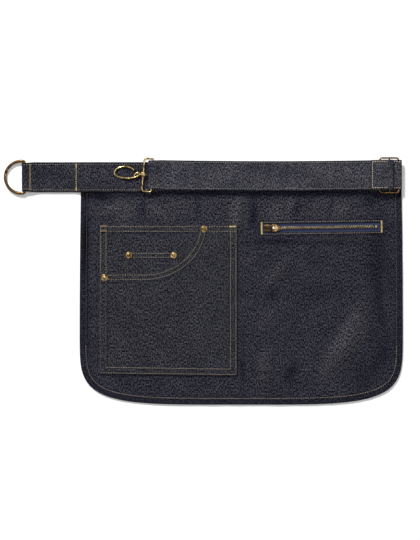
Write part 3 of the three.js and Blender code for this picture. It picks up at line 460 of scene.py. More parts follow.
def makeDenim(name, dark, light, worn):
    material, tree, shader = newMaterial(name)
    place = addNode(tree, "ShaderNodeAttribute", attribute_name="cloth").outputs["Vector"]
    wear = addNode(tree, "ShaderNodeAttribute", attribute_name="wear").outputs["Fac"]
    fadeAndShade = addNode(tree, "ShaderNodeAttribute", attribute_name="fadeAndShade").outputs["Fac"]
    turn = {"Vector": place, "Rotation": (0, 0, denimWeave["lean"])}
    turned = addNode(tree, "ShaderNodeMapping", turn).outputs["Vector"]
    across = addNode(tree, "ShaderNodeSeparateXYZ", {"Vector": turned}).outputs["X"]
    wobble = times(tree, noise(tree, place, denimWeave["wobbleScale"], 2.0), denimWeave["wobble"])
    angle = times(tree, plus(tree, across, wobble), 2 * math.pi / denimWeave["pitch"])
    twill = remap(tree, calc(tree, "SINE", angle, 0.0), -1, 1)
    slub = noise(tree, scaled(tree, place, (1, 0.16, 1)), 1 / denimWeave["slubSize"], 2.0, 0.6)
    fleck = noise(tree, scaled(tree, place, (1, 0.5, 1)), 1 / denimWeave["fleckSize"], 1.5, 0.5)
    speck = noise(tree, place, 1 / denimWeave["speckSize"], 2.0, 0.7)
    slow = noise(tree, place, denimWeave["slowScale"], 3.0, 0.62)
    patch = noise(tree, scaled(tree, place, (1, 0.45, 1)), denimWeave["patchScale"], 2.0, 0.55)
    hue = noise(tree, place, denimWeave["hueScale"], 1.0)
    flecked = times(tree, fleck, denimWeave["fleckShare"])
    grain = plus(tree, flecked, times(tree, speck, denimWeave["speckShare"]))
    flecks = remap(tree, grain, denimWeave["balance"] - 0.03, denimWeave["balance"] + 0.085)
    slubs = remap(tree, slub, 0.3, 0.7, 0.65, 1.35)
    lines = times(tree, remap(tree, twill, 0, 1, 0.72, 1.28), slubs)
    patches = remap(tree, patch, 0.3, 0.7, 0.9, 1.1)
    mottle = times(tree, remap(tree, slow, 0.3, 0.7, 0.84, 1.16), patches)
    base = mixColour(tree, times(tree, flecks, lines), (*dark, 1), (*light, 1))
    warmer = remap(tree, hue, 0.5, 0.72, 0, 0.5)
    tinted = mixColour(tree, warmer, base, denimWeave["warmth"], "MULTIPLY")
    rubbed = times(tree, wear, remap(tree, fleck, 0.35, 0.65, 0.15, 1))
    colour = mixColour(tree, rubbed, tinted, (*worn, 1))
    # A bluer tint where painted shade darkens the cloth, and a greyer one where fading and painted light
    # pale it
    paleness = remap(tree, fadeAndShade, -0.4, 0.35)
    cast = mixColour(tree, paleness, denimWeave["hollowCast"], denimWeave["foldCast"])
    colour = mixColour(tree, 1.0, colour, cast, "MULTIPLY")
    tone = times(tree, mottle, plus(tree, fadeAndShade, 1.0))
    toned = addNode(tree, "ShaderNodeVectorMath", {0: colour, "Scale": tone}, operation="SCALE")
    feed(tree, shader.inputs["Base Color"], toned.outputs["Vector"])
    feed(tree, shader.inputs["Roughness"], remap(tree, fleck, 0.3, 0.7, 0.97, 0.86))
    setInputs(shader, {"Specular IOR Level": 0.06, "Sheen Weight": 0.012, "Sheen Roughness": 0.5})
    setInputs(shader, {"Sheen Tint": (0.5, 0.6, 0.9, 1)})
    relief = plus(tree, times(tree, twill, 0.5), times(tree, grain, 0.5))
    feed(tree, shader.inputs["Normal"], bump(tree, relief, 0.8, denimWeave["bumpDepth"]))
    return material


# Sewing thread: twisted strands as fine slanted lines, with a slow change of tone from stitch to stitch
threadLook = {"twistScale": (1800, 900, 1800), "toneScale": 240, "bumpDepth": 0.0001}


def makeThread(name, dark, light):
    material, tree, shader = newMaterial(name)
    place = addNode(tree, "ShaderNodeTexCoord").outputs["Object"]
    twist = noise(tree, scaled(tree, place, threadLook["twistScale"]), 1.0, 1.0)
    tone = noise(tree, place, threadLook["toneScale"], 1.0)
    strands = remap(tree, twist, 0.35, 0.65, 0, 0.6)
    factor = plus(tree, strands, remap(tree, tone, 0.3, 0.7, -0.1, 0.5))
    feed(tree, shader.inputs["Base Color"], mixColour(tree, factor, (*dark, 1), (*light, 1)))
    feed(tree, shader.inputs["Normal"], bump(tree, twist, 0.5, threadLook["bumpDepth"]))
    setInputs(shader, {"Roughness": 0.62, "Sheen Weight": 0.2})
    return material


# Old metal: a bright tone rubbed through a dark one, with cloudy patches, fine scratches and pits
metalLook = {
    "cloudScale": 260,
    "grainScale": 1500,
    "scratchScale": (300, 4000, 1200),
    "softness": 0.12,
    "bumpDepth": 0.00008,
}


def makeMetal(name, dark, bright, balance, roughness):
    material, tree, shader = newMaterial(name)
    place = addNode(tree, "ShaderNodeTexCoord").outputs["Object"]
    cloud = noise(tree, place, metalLook["cloudScale"], 4.0, 0.6)
    grain = noise(tree, place, metalLook["grainScale"], 3.0, 0.7)
    scratch = noise(tree, scaled(tree, place, metalLook["scratchScale"]), 1.0, 2.0)
    mixed = plus(tree, times(tree, cloud, 0.7), times(tree, grain, 0.3))
    factor = remap(tree, mixed, balance - metalLook["softness"], balance + metalLook["softness"])
    relief = plus(tree, times(tree, scratch, 0.4), times(tree, grain, 0.6))
    feed(tree, shader.inputs["Base Color"], mixColour(tree, factor, (*bright, 1), (*dark, 1)))
    feed(tree, shader.inputs["Roughness"], remap(tree, mixed, 0.35, 0.65, *roughness))
    feed(tree, shader.inputs["Normal"], bump(tree, relief, 0.35, metalLook["bumpDepth"]))
    setInputs(shader, {"Metallic": 1.0})
    return material


# Woven zip tape: ribs along it crossed by the weft, two sines multiplied
tapeLook = {"rib": 0.9, "weft": 0.6, "fuzzScale": 1.6, "bumpDepth": 0.00015}


def makeTapeCloth(name, dark, light):
    material, tree, shader = newMaterial(name)
    place = addNode(tree, "ShaderNodeAttribute", attribute_name="cloth").outputs["Vector"]
    parts = addNode(tree, "ShaderNodeSeparateXYZ", {"Vector": place})
    ribAngle = times(tree, parts.outputs["Y"], 2 * math.pi / tapeLook["rib"])
    weftAngle = times(tree, parts.outputs["X"], 2 * math.pi / tapeLook["weft"])
    weave = times(tree, calc(tree, "SINE", ribAngle, 0.0), calc(tree, "SINE", weftAngle, 0.0))
    fuzz = noise(tree, place, tapeLook["fuzzScale"], 3.0, 0.7)
    factor = plus(tree, remap(tree, weave, -1, 1, 0, 0.5), remap(tree, fuzz, 0.35, 0.7, 0, 0.5))
    feed(tree, shader.inputs["Base Color"], mixColour(tree, factor, (*dark, 1), (*light, 1)))
    feed(tree, shader.inputs["Normal"], bump(tree, weave, 0.6, tapeLook["bumpDepth"]))
    setInputs(shader, {"Roughness": 0.85, "Sheen Weight": 0.15})
    return material


# Colours: dark, then light or bright, and worn edges on denim
denim = makeDenim(
    "darkDenim", (0.0010, 0.0010, 0.0044), (0.064, 0.063, 0.080), (0.034, 0.034, 0.042)
)
pocketDenim = makeDenim(
    "pocketDenim", (0.0012, 0.0012, 0.0036), (0.072, 0.072, 0.085), (0.045, 0.045, 0.052)
)
# The strap's denim is paler than the panel's: partly its own paler cloth, partly painted light for the
# raised strap
strapDenimPaleAndLit = makeDenim(
    "strapDenimPaleAndLit", (0.0062, 0.0064, 0.0110), (0.094, 0.093, 0.110), (0.080, 0.080, 0.092)
)
tanThread = makeThread("tanThread", (0.20, 0.155, 0.095), (0.50, 0.40, 0.26))
dullThread = makeThread("dullThread", (0.055, 0.038, 0.026), (0.16, 0.115, 0.07))
brightThread = makeThread("brightThread", (0.34, 0.24, 0.12), (0.72, 0.56, 0.34))
goldThread = makeThread("goldThread", (0.33, 0.24, 0.07), (0.70, 0.55, 0.22))
amberThread = makeThread("amberThread", (0.085, 0.050, 0.020), (0.27, 0.17, 0.065))
paleThread = makeThread("paleThread", (0.12, 0.105, 0.08), (0.42, 0.38, 0.31))
brass = makeMetal("oldBrass", (0.075, 0.043, 0.016), (0.62, 0.46, 0.22), 0.5, (0.18, 0.4))
rivetBrass = makeMetal("rivetBrass", (0.045, 0.026, 0.012), (0.46, 0.31, 0.13), 0.48, (0.2, 0.42))
bronze = makeMetal("darkBronze", (0.030, 0.017, 0.008), (0.27, 0.155, 0.06), 0.48, (0.22, 0.45))
zipBrass = makeMetal("zipBrass", (0.10, 0.07, 0.032), (0.50, 0.39, 0.20), 0.5, (0.22, 0.45))
zipDark = makeMetal("zipDarkBrass", (0.030, 0.020, 0.012), (0.26, 0.17, 0.08), 0.46, (0.22, 0.42))
# A near-white metal whose brightness paints the glint on the zip slider's cap
capGlintMetal = makeMetal("zipCapPaintedGlint", (0.50, 0.34, 0.26), (0.95, 0.84, 0.76), 0.56, (0.15, 0.3))
tapeCloth = makeTapeCloth("zipTapeCloth", (0.003, 0.006, 0.022), (0.016, 0.030, 0.100))
print("materials made")


# The panel: one ply with its hem, its outline straight down the sides and round the lower corners
panelShape = {
    "flare": 2.2,
    "cornerReach": 97,
    "cornerPower": 4.6,
    "hemLift": 1.3,
    "hemFall": (7.6, 10.4),  # from the edge to where the hem's lift begins and ends its fall
    "hemStitch": 8.3,
    "hemPucker": 0.16,
    "weltLift": 0.35,
    "weltFall": (1.2, 2.6),
    "windowStitch": 1.8,
    "windowPucker": 0.1,
    "bandFade": 6,
    "step": 2.6,
    "turnSlope": 24,  # over which the rows turn to the zip's direction
}
# Wear is real rubbing on the edges, the window and the hem; the shades are painted shade over the hem band,
# past its seam and beside the window
panelWearAndShade = {
    "edgeWear": 0.55,
    "windowWear": 0.4,
    "hemWear": 0.12,
    "hemShade": 0.36,
    "seamShade": 0.3,
    "windowShade": 0.45,
}
sideBottom = panelBottom + panelShape["cornerReach"]


# Half the width at a height: it loses the flare with the square of the share up the straight side
def halfWidthAt(y):
    share = np.clip((y - sideBottom) / (panelTop - sideBottom), 0, 1)
    return halfWidth - panelShape["flare"] * share * share


# The power mean of the place's shares across and down, 1 on the lower outline
def cornerNorm(x, y):
    power = panelShape["cornerPower"]
    across = np.abs(x) / halfWidth
    down = np.maximum(sideBottom - y, 0) / panelShape["cornerReach"]
    return (across**power + down**power) ** (1 / power), across, down


# Distance inside the outline: from the side above, and below by the norm over the length of its slope
def panelInset(x, y):
    power = panelShape["cornerPower"]
    norm, across, down = cornerNorm(x, y)
    norm = np.maximum(norm, 1e-6)
    slopeX = (across / norm) ** (power - 1) / halfWidth
    slopeY = (down / norm) ** (power - 1) / panelShape["cornerReach"]
    lower = (1 - norm) / np.maximum(np.hypot(slopeX, slopeY), 1e-9)
    return np.where(y < sideBottom, lower, halfWidthAt(y) - np.abs(x))


# A place turned into the zip's own directions about its middle
def zipPlace(x, y):
    tilt = zipWindow["tilt"]
    fromX = x - zipX
    fromY = y - zipY
    return fromX * math.cos(tilt) + fromY * math.sin(tilt), fromY * math.cos(tilt) - fromX * math.sin(tilt)


# Distance outside the zip's window, negative inside it
def windowGap(x, y):
    along, aside = zipPlace(x, y)
    outX = np.abs(along) - zipWindow["length"] / 2
    outY = np.abs(aside) - zipWindow["width"] / 2
    return np.where((outX > 0) & (outY > 0), np.hypot(outX, outY), np.maximum(outX, outY))


# The ply's middle: the cloth's rise and half a ply
def panelMiddle(x, y):
    return clothRise(x, y) + cloth["ply"] / 2


# The front face: half a ply over the middle, raised over the hem and the window's turned edge, puckered
# beside the seams, dented along them and rounded off at its edges
def panelFace(x, y):
    inset = panelInset(x, y)
    gap = windowGap(x, y)
    offBand = 1 - smoothStep(y, bandBottom - panelShape["bandFade"], bandBottom)
    hem = within(inset, *panelShape["hemFall"]) * offBand
    pucker = panelShape["hemPucker"] * softNoise(x, y, 8, 11) * within(inset, 8, 16) * offBand
    pucker = pucker + panelShape["windowPucker"] * softNoise(x, y, 7, 12) * within(gap, 3, 9)
    seam = 0.3 * dent(inset - panelShape["hemStitch"], 0.8) * offBand
    seam = seam + 0.25 * dent(gap - panelShape["windowStitch"], 0.7)
    welt = panelShape["weltLift"] * within(gap, *panelShape["weltFall"])
    thick = cloth["ply"] / 2 + panelShape["hemLift"] * hem + welt + pucker * 0.6 - seam
    edge = np.minimum(roundOff(inset, 1.1), roundOff(gap, 0.8))
    return panelMiddle(x, y) + thick * edge


# The back face: half a ply under the middle, rounded off at its edges
def panelBack(x, y):
    edge = np.minimum(roundOff(panelInset(x, y), 0.6), roundOff(windowGap(x, y), 0.5))
    return panelMiddle(x, y) - cloth["ply"] / 2 * edge


# A grid of places with close lines along the edges and the window. Above, its rows run straight across;
# below, a square grid is drawn in to the outline: each place times its larger share over its norm.
def makePanel():
    hemLines = (0, 0.15, 0.4, 0.8, 1.3, 2, 3.2, 5, 6.8, 7.6, 8.3, 9, 9.8, 10.8, 12.5)
    windowLines = (0, 0.12, 0.35, 0.7, 1.2, 1.8, 2.4, 3.2)
    aroundWindow = windowLines[-1] + 0.1
    step = panelShape["step"]
    halfWindow = zipWindow["length"] / 2
    windowX = np.array([zipX - halfWindow, zipX + halfWindow])
    windowY = np.array([zipY - zipWindow["width"] / 2, zipY + zipWindow["width"] / 2])
    fromHem = gridLines(-halfWidth, halfWidth, step, [-halfWidth, halfWidth], hemLines)
    sides = gridLines(-halfWidth, halfWidth, step, windowX, windowLines)
    keepFar = np.abs(sides[:, None] - fromHem).min(axis=1) > 0.05
    nearWindow = np.abs(sides[:, None] - windowX).min(axis=1) < aroundWindow
    lineX = np.unique(np.round([*fromHem, *sides[keepFar & nearWindow]], 3))
    lineY = gridLines(panelBottom, panelTop, step, [panelBottom], hemLines)
    rows = gridLines(panelBottom, panelTop, step, windowY, windowLines)
    nearRows = np.abs(rows[:, None] - windowY).min(axis=1) < aroundWindow
    lineY = np.unique(np.round([*lineY, *rows[nearRows]], 3))
    a, b = np.meshgrid(lineX, lineY)
    norm, across, down = cornerNorm(a, b)
    draw = np.where(b < sideBottom, np.maximum(across, down) / np.maximum(norm, 1e-6), 1)
    x = np.where(b < sideBottom, a * draw, a * halfWidthAt(b) / halfWidth)
    y = np.where(b < sideBottom, sideBottom + (b - sideBottom) * draw, b)
    tiltPart = plateau(a, b, zipBox, panelShape["turnSlope"])
    y = y + math.sin(zipWindow["tilt"]) * (a - zipX) * tiltPart
    x = x - math.sin(zipWindow["tilt"]) * (b - zipY) * tiltPart
    middleA = (a[:-1, :-1] + a[1:, 1:]) / 2
    middleB = (b[:-1, :-1] + b[1:, 1:]) / 2
    inWindow = (np.abs(middleA - zipX) < halfWindow) & (np.abs(middleB - zipY) < zipWindow["width"] / 2)
    points, faces = closedSheet(x, y, panelFace(x, y), panelBack(x, y), ~inWindow)
    inset = panelInset(x, y)
    gap = windowGap(x, y)
    wear = panelWearAndShade["edgeWear"] * within(inset, 0.2, 1.8) + panelWearAndShade["windowWear"] * within(gap, 0.1, 1.2)
    wear = wear + panelWearAndShade["hemWear"] * dent(inset - 7.2, 0.8)
    # Painted shade: darker over the hem band, in a line past the hem's seam and in one beside the window's
    # turned edge
    paintedShade = panelWearAndShade["hemShade"] * within(inset, 8, 10) + panelWearAndShade["seamShade"] * dent(inset - 10, 1)
    paintedShade = paintedShade + panelWearAndShade["windowShade"] * dent(gap - 3.4, 1)
    attributes = {
        "cloth": points * [1, 1, 0],
        "wear": np.tile(wear.ravel(), 2),
        "fadeAndShade": np.tile((clothFadeAndShade(x, y) - paintedShade).ravel(), 2),
    }
    piece = addPiece("panelCloth", points, faces, denim, "apron", attributes, "panel", "denim")
    return piece


panelCloth = makePanel()
print("panel made")


# Strips of cloth that follow a line seen from the side: the waistband's end and the strap

# A line round a row of pegs, as a belt runs: straight along the tangents and in arcs round the pegs.
# Each peg is its middle's x and z, the line's radius there, and 1 for a left turn or -1 for a right one.
def beltLine(pegs, arcStep=np.pi / 20, closest=0.05):
    points = []
    before = None
    for k, (x, z, radius, turn) in enumerate(pegs):
        leaving = before
        if k + 1 < len(pegs):
            nextX, nextZ, nextRadius, nextTurn = pegs[k + 1]
            apart = math.hypot(nextX - x, nextZ - z)
            heading = math.atan2(nextZ - z, nextX - x)
            leaving = heading - math.asin((nextRadius * nextTurn - radius * turn) / apart)
        arriving = leaving if before is None else before
        sweep = leaving - arriving
        sweep -= 2 * math.pi * round(sweep / (2 * math.pi))
        if sweep * turn < -1e-6:
            sweep += 2 * math.pi * turn
        steps = max(1, math.ceil(abs(sweep) / arcStep)) if radius > 0 else 0
        angle = arriving + sweep * np.linspace(0, 1, steps + 1)
        reach = radius * turn
        points.append(np.stack([x + np.sin(angle) * reach, z - np.cos(angle) * reach], axis=-1))
        before = leaving
    line = np.concatenate(points)
    apart = np.hypot(*np.diff(line, axis=0).T)
    return line[np.concatenate([[True], apart > closest])]


# The same line with points put in so that none lie further apart than a step
def fillLine(line, step):
    apart = np.hypot(*np.diff(line, axis=0).T)
    along = np.concatenate([[0], np.cumsum(apart)])
    counts = np.maximum(1, np.ceil(apart / step)).astype(int)
    pieces = [np.linspace(*along[k : k + 2], count, endpoint=False) for k, count in enumerate(counts)]
    wanted = np.concatenate([*pieces, along[-1:]])
    return np.stack([np.interp(wanted, along, line[:, k]) for k in (0, 1)], axis=-1)


# Each point's distance along its line
def alongLine(line):
    return np.concatenate([[0], np.cumsum(np.hypot(*np.diff(line, axis=0).T))])


# Unit vectors square to the line, to its left: the mean direction of the two segments, turned by 90 degrees
def lineNormals(line):
    step = np.diff(line, axis=0)
    step = step / np.linalg.norm(step, axis=1, keepdims=True)
    mean = np.concatenate([step[:1], step[:-1] + step[1:], step[-1:]])
    mean = mean / np.linalg.norm(mean, axis=1, keepdims=True)
    return np.stack([-mean[:, 1], mean[:, 0]], axis=-1)


# Across a strip: from -1 at its near edge to 1 at its far edge, closer together at the edges and seams
def stripAcross(half, seam, middleLines=15):
    near = np.array([0, 0.08, 0.25, 0.5, 0.9, 1.4, seam - 0.5, seam, seam + 0.5, seam + 1.2])
    even = np.linspace(-half + seam + 2.2, half - seam - 2.2, middleLines)
    return np.sort([*(-half + near), *even, *(half - near)]) / half


# seamShade and edgeShade paint shade along the seams and the strips' edges; paler lightens both strips,
# partly their own paler cloth and partly painted light
stripLook = {
    "seamDepth": 0.16,
    "edgeWear": 0.2,
    "endWear": 0.3,
    "seamWear": 0.12,
    "seamShade": 0.3,
    "edgeShade": 0.45,
    "paler": 0.05,
    "mottle": ((0.22, 9, 24, 51), (0.14, 16, 9, 52)),  # share, stretch across, size and seed
}


# A strip as a surface of two parameters, along its line and across it: the line and half the thickness
# out along its normals, with the front to the line's left. relief(along, across) moves both faces, and
# the edges are rounded off.
def stripPiece(name, strip, material, node, slot):
    line, thickness, half, seam = strip["line"], strip["thickness"], strip["half"], strip["seam"]
    across = stripAcross(half, seam)
    along = alongLine(line)
    normals = lineNormals(line)
    s, w = np.meshgrid(along, across, indexing="ij")
    inset = (1 - np.abs(w)) * half
    ends = np.minimum(s, along[-1] - s)
    edge = np.minimum(roundOff(inset, thickness * 0.45), roundOff(ends, thickness * 0.45))
    dip = stripLook["seamDepth"] * dent(inset - seam, 0.7)
    lift = strip["relief"](s, w)
    y = strip["centreAt"](line[:, :1]) + w * strip["halfAt"](line[:, :1])
    layers = []
    for height in ((thickness / 2 - dip) * edge + lift, lift - thickness / 2 * edge):
        x = line[:, :1] + normals[:, :1] * height
        z = line[:, 1:] + normals[:, 1:] * height
        layers.append(np.stack([x, y, z], axis=-1).reshape(-1, 3))
    wear = stripLook["edgeWear"] * within(inset, 0.1, 1.3)
    wear = wear + stripLook["seamWear"] * dent(inset - seam - 1.5, 0.9)
    wear = np.maximum(wear, stripLook["endWear"] * within(ends, 0.1, 1.2))
    # Painted shade along the seams and the rounded edges, on a slightly paler tone that is partly painted
    # light
    fadeAndShade = stripLook["paler"] - stripLook["seamShade"] * dent(inset - seam, 1.1)
    fadeAndShade = fadeAndShade - stripLook["edgeShade"] * within(inset, 0.7, 1.9)
    for share, stretch, size, seed in stripLook["mottle"]:
        fadeAndShade = fadeAndShade + share * softNoise(s, w * stretch, size, seed)
    attributes = {
        "cloth": np.tile(np.stack([s, w * half, s * 0], axis=-1).reshape(-1, 3), (2, 1)),
        "wear": np.tile(wear.ravel(), 2),
        "fadeAndShade": np.tile(fadeAndShade.ravel(), 2),
    }
    faces = shellFaces(*s.shape)
    return addPiece(name, np.concatenate(layers), faces, material, "apron", attributes, node, slot)


# Where a strip's face lies, its front or with side -1 its back: the place and the outward direction at
# distances along it and across it, as stripPiece works them out
def stripFace(strip, side=1):
    along = alongLine(strip["line"])
    normals = lineNormals(strip["line"])

    def face(s, w):
        x, z = [np.interp(s, along, strip["line"][:, k]) for k in (0, 1)]
        normalX, normalZ = [np.interp(s, along, normals[:, k]) for k in (0, 1)]
        height = side * strip["thickness"] / 2 + strip["relief"](s, w / strip["half"])
        y = strip["centreAt"](x) + w / strip["half"] * strip["halfAt"](x)
        place = np.stack([x + normalX * height, y, z + normalZ * height], axis=-1)
        return place, side * np.stack([normalX, normalX * 0, normalZ], axis=-1)

    return face


# The waistband: a strip along under the panel's top, round the D-ring's bar and back over the top
band = {
    "width": bandTop - bandBottom,
    "taper": 14,
    "bend": 9,
    "short": 1.6,
    "seam": 2.9,
}
ring = {"wire": 3.8, "inside": 38, "side": 4.4, "corner": 3.2}
ringBar = jointPlace("d_ring_swing")
bandHeight = 2 * cloth["bandPly"] + cloth["ply"] + 2 * cloth["gap"]
panelSide = -(halfWidth - panelShape["flare"])
bandEnd = -panelSide - band["short"]


def bandPath():
    under = cloth["bandPly"] / 2
    tabOver = under + cloth["bandPly"] + cloth["gap"]
    over = bandHeight - cloth["bandPly"] / 2
    bend = band["bend"]
    ringFold = ring["wire"] / 2 + cloth["gap"] + cloth["bandPly"] / 2
    pegs = [
        (bandEnd, under, 0, 1),
        (ringBar[0], ringBar[2], ringFold, -1),
        (ringBar[0] + 2 * bend, tabOver + bend, bend, 1),
        (panelSide - bend, tabOver + bend, bend, 1),
        (panelSide - cloth["gap"], over - bend, bend, -1),
        (bandEnd, over, 0, 1),
    ]
    return fillLine(beltLine(pegs), 3)


def bandCentre(x):
    return x * 0 + (bandBottom + bandTop) / 2


# Half the width, which narrows to fit inside the ring
def bandHalf(x):
    narrow = (band["width"] - ring["inside"]) / 2 + 2 * cloth["gap"]
    return band["width"] / 2 - narrow * within(x, ringBar[0], ringBar[0] + band["taper"])


def bandRelief(s, w):
    return 0.05 * softNoise(s, w * 20, 14, 21)


bandLine = bandPath()
bandStrip = {
    "line": bandLine,
    "thickness": cloth["bandPly"],
    "half": band["width"] / 2,
    "centreAt": bandCentre,
    "halfAt": bandHalf,
    "relief": bandRelief,
    "seam": band["seam"],
}
waistbandCloth = stripPiece("waistbandCloth", bandStrip, denim, "waistband", "denim")


topFold = {"squeeze": 0.8, "wall": 1.1, "ripple": 0.08, "lines": 150, "steps": 12}


# The fold along the waistband's top edge: a half round squeezed across, and a smaller one back inside it,
# carried along the band
def makeTopFold():
    x = np.linspace(panelSide + 0.4, bandEnd - 0.2, topFold["lines"])
    steps = topFold["steps"]
    angle = np.linspace(-np.pi / 2, np.pi / 2, steps + 1)
    outer = bandHeight / 2
    inner = outer - topFold["wall"]
    squeeze = topFold["squeeze"]
    profileY = np.concatenate([outer * squeeze * np.cos(angle), inner * squeeze * np.cos(angle[::-1])])
    profileZ = np.concatenate([outer * np.sin(angle), inner * np.sin(angle[::-1])])
    ripple = topFold["ripple"] * softNoise(x[:, None], profileZ[None] * 4, 16, 22)
    y = bandTop - squeeze * outer + profileY[None] + ripple
    z = outer + profileZ[None] + x[:, None] * 0
    points = np.stack([x[:, None] + profileY[None] * 0, y, z], axis=-1).reshape(-1, 3)
    sides = len(profileY)
    near = np.arange(steps)
    lid = np.stack([near, near + 1, sides - 2 - near, sides - 1 - near], axis=-1)
    last = (len(x) - 1) * sides
    faces = np.concatenate([ringFaces(len(x), sides), lid, lid + last])
    attributes = {
        "cloth": np.stack([points[:, 0], points[:, 1] + points[:, 2], points[:, 2] * 0], axis=-1),
        "wear": np.clip((points[:, 1] - bandTop + 0.9) * 0.7, 0, 0.6),
        "fadeAndShade": 0.2 * softNoise(points[:, 0], points[:, 1], 24, 53),
    }
    addPiece("waistbandTopFold", points, faces, denim, "apron", attributes, None, "denim")


makeTopFold()
print("waistband made")


# The strap: one double ply from its sewn end over the slider, along to the clip ring and back
strap = {
    "width": 38.4,
    "sag": 1.6,
    "rise": 2.9,
    "landing": 12,
    "landingGap": 15.5,
    "foldBend": 15,
    "foldGap": 14,
    "tail": 23.5,
    "sewnEnd": 4.5,
    "taper": 14,
    "seam": 2.3,
    "tailSlack": 2.1,
    "endSlack": 1.2,
    "calmEnds": (22, 45),  # from each fold to where the waves begin and are full
}
slider = {
    "span": 24,
    "bar": 2.2,
    "length": 47.3,
    "corner": 3.4,
    "inset": 14.7,
    "barRise": ((0, 0), (1.3, 0.45), (2.7, 1), (6, 1)),  # in from the frame, share of the middle bar's lift
}
clip = {
    "wire": 2.5,
    "inside": 40.4,
    "play": 1.7,
    "depth": 11.9,
    "corner": 4.2,
    "barCorner": 1.8,
    "yaw": math.radians(-5),
    "bossLength": 4.8,
    "bossWidth": 8.7,
    "bossHeight": 5,
    "pin": 1.1,
    "rivetHead": 2.1,
    "rivetLength": 2.2,
    "hookWire": 2.3,
    "hookHead": 2.3,
    "hookHeadLength": 2.6,
    "hookLength": 31.8,
    "hookWidth": 14.7,
}
strapPly = cloth["strapPly"]
strapLevel = bandHeight + cloth["gap"] + strapPly / 2
strapSpacing = strapPly + cloth["gap"]
underClip = bandHeight + cloth["gap"]
sliderX = bandEnd - slider["inset"]
leftBarX = sliderX - slider["span"] / 2
rightBarX = sliderX + slider["span"] / 2
outerBarZ = underClip + strapPly + cloth["gap"] + slider["bar"] / 2
middleBarZ = outerBarZ + strapSpacing
barFold = slider["bar"] / 2 + cloth["gap"] + strapPly / 2
clipBar = jointPlace("clip_swing")
clipFold = clip["wire"] / 2 + cloth["gap"] + strapPly / 2
clipSlack = clip["inside"] / 2 * math.sin(-clip["yaw"])


# The strap's line in order: sewn end, slider's outer bar, middle bar, other outer bar, down to the band,
# clip's bar, back up over the same bars, round the middle bar and back on top as the tail
def strapPath():
    landingX = leftBarX - strap["landingGap"]
    landing = strap["landing"]
    landingZ = strapLevel + landing
    upper = strapLevel + strapSpacing
    barX, barZ = clipBar[0], clipBar[2]
    slack = strap["tailSlack"]
    twice = 2 * strapSpacing
    pegs = [
        (rightBarX - strap["sewnEnd"], strapLevel, 0, 1),
        (rightBarX + strap["endSlack"], outerBarZ, barFold, 1),
        (rightBarX, outerBarZ, barFold, 1),
        (sliderX + slack, middleBarZ, barFold + strapSpacing, -1),
        (sliderX, middleBarZ, barFold + strapSpacing, -1),
        (leftBarX, outerBarZ, barFold, 1),
        (landingX, landingZ, landing, -1),
        (barX + clipSlack, barZ, clipFold, -1),
        (barX - clipSlack, barZ, clipFold, -1),
        (barX + clipSlack, barZ, clipFold, -1),
        (barX + strap["foldGap"], upper + strap["foldBend"], strap["foldBend"], 1),
        (landingX, landingZ, landing - strapSpacing, 1),
        (leftBarX, outerBarZ, barFold + strapSpacing, -1),
        (sliderX, middleBarZ, barFold, 1),
        (sliderX + slack, middleBarZ, barFold, 1),
        (sliderX, middleBarZ, barFold, 1),
        (leftBarX, outerBarZ, barFold + twice, 1),
        (landingX, landingZ, landing - twice, -1),
        (landingX - landing, upper + strapSpacing, 0, 1),
    ]
    line = beltLine(pegs)
    tailX = sliderX - strap["tail"]
    lastTurn = int(np.argmax(line[:, 0][::-1] > tailX))
    keep = len(line) - lastTurn
    share = (tailX - line[keep - 1, 0]) / (line[keep, 0] - line[keep - 1, 0])
    tip = line[keep - 1] + (line[keep] - line[keep - 1]) * share
    return fillLine(np.concatenate([line[:keep], [tip]]), 3)


# The middle across the band sags between clip and slider: the sag times 1 less the squared share out
def strapCentre(x):
    middle = (clipBar[0] + sliderX) / 2
    fromMiddle = np.clip(np.abs(x - middle) / (sliderX - middle), 0, 1)
    return (bandBottom + bandTop) / 2 + strap["rise"] - strap["sag"] * (1 - fromMiddle**2)


# Half the width, which narrows to fit inside the clip's ring
def strapHalf(x):
    narrow = (strap["width"] - clip["inside"]) / 2 + clip["play"]
    return strap["width"] / 2 - narrow * within(x, clipBar[0], clipBar[0] + strap["taper"])


strapLine = strapPath()
strapAlong = alongLine(strapLine)
strapTurn = strapAlong[int(np.argmin(strapLine[:, 0]))]
strapBack = strapTurn + (leftBarX - clipBar[0])


# Low waves across the strap's upper run, which has nothing on it, faded out towards both of its folds
def strapRelief(s, w):
    near, far = strap["calmEnds"]
    run = smoothStep(s, strapTurn + near, strapTurn + far) * within(s, strapBack - far, strapBack - near)
    waves = 0.3 * (1 + softNoise(s, w * 5, 15, 31)) + 0.18 * (1 + softNoise(s, w * 12, 8, 32))
    return run * waves


strapStrip = {
    "line": strapLine,
    "thickness": strapPly,
    "half": strap["width"] / 2,
    "centreAt": strapCentre,
    "halfAt": strapHalf,
    "relief": strapRelief,
    "seam": strap["seam"],
}
strapCloth = stripPiece("strapCloth", strapStrip, strapDenimPaleAndLit, "strap", "strap_denim")
print("strap made", round(strapAlong[-1]), "mm")


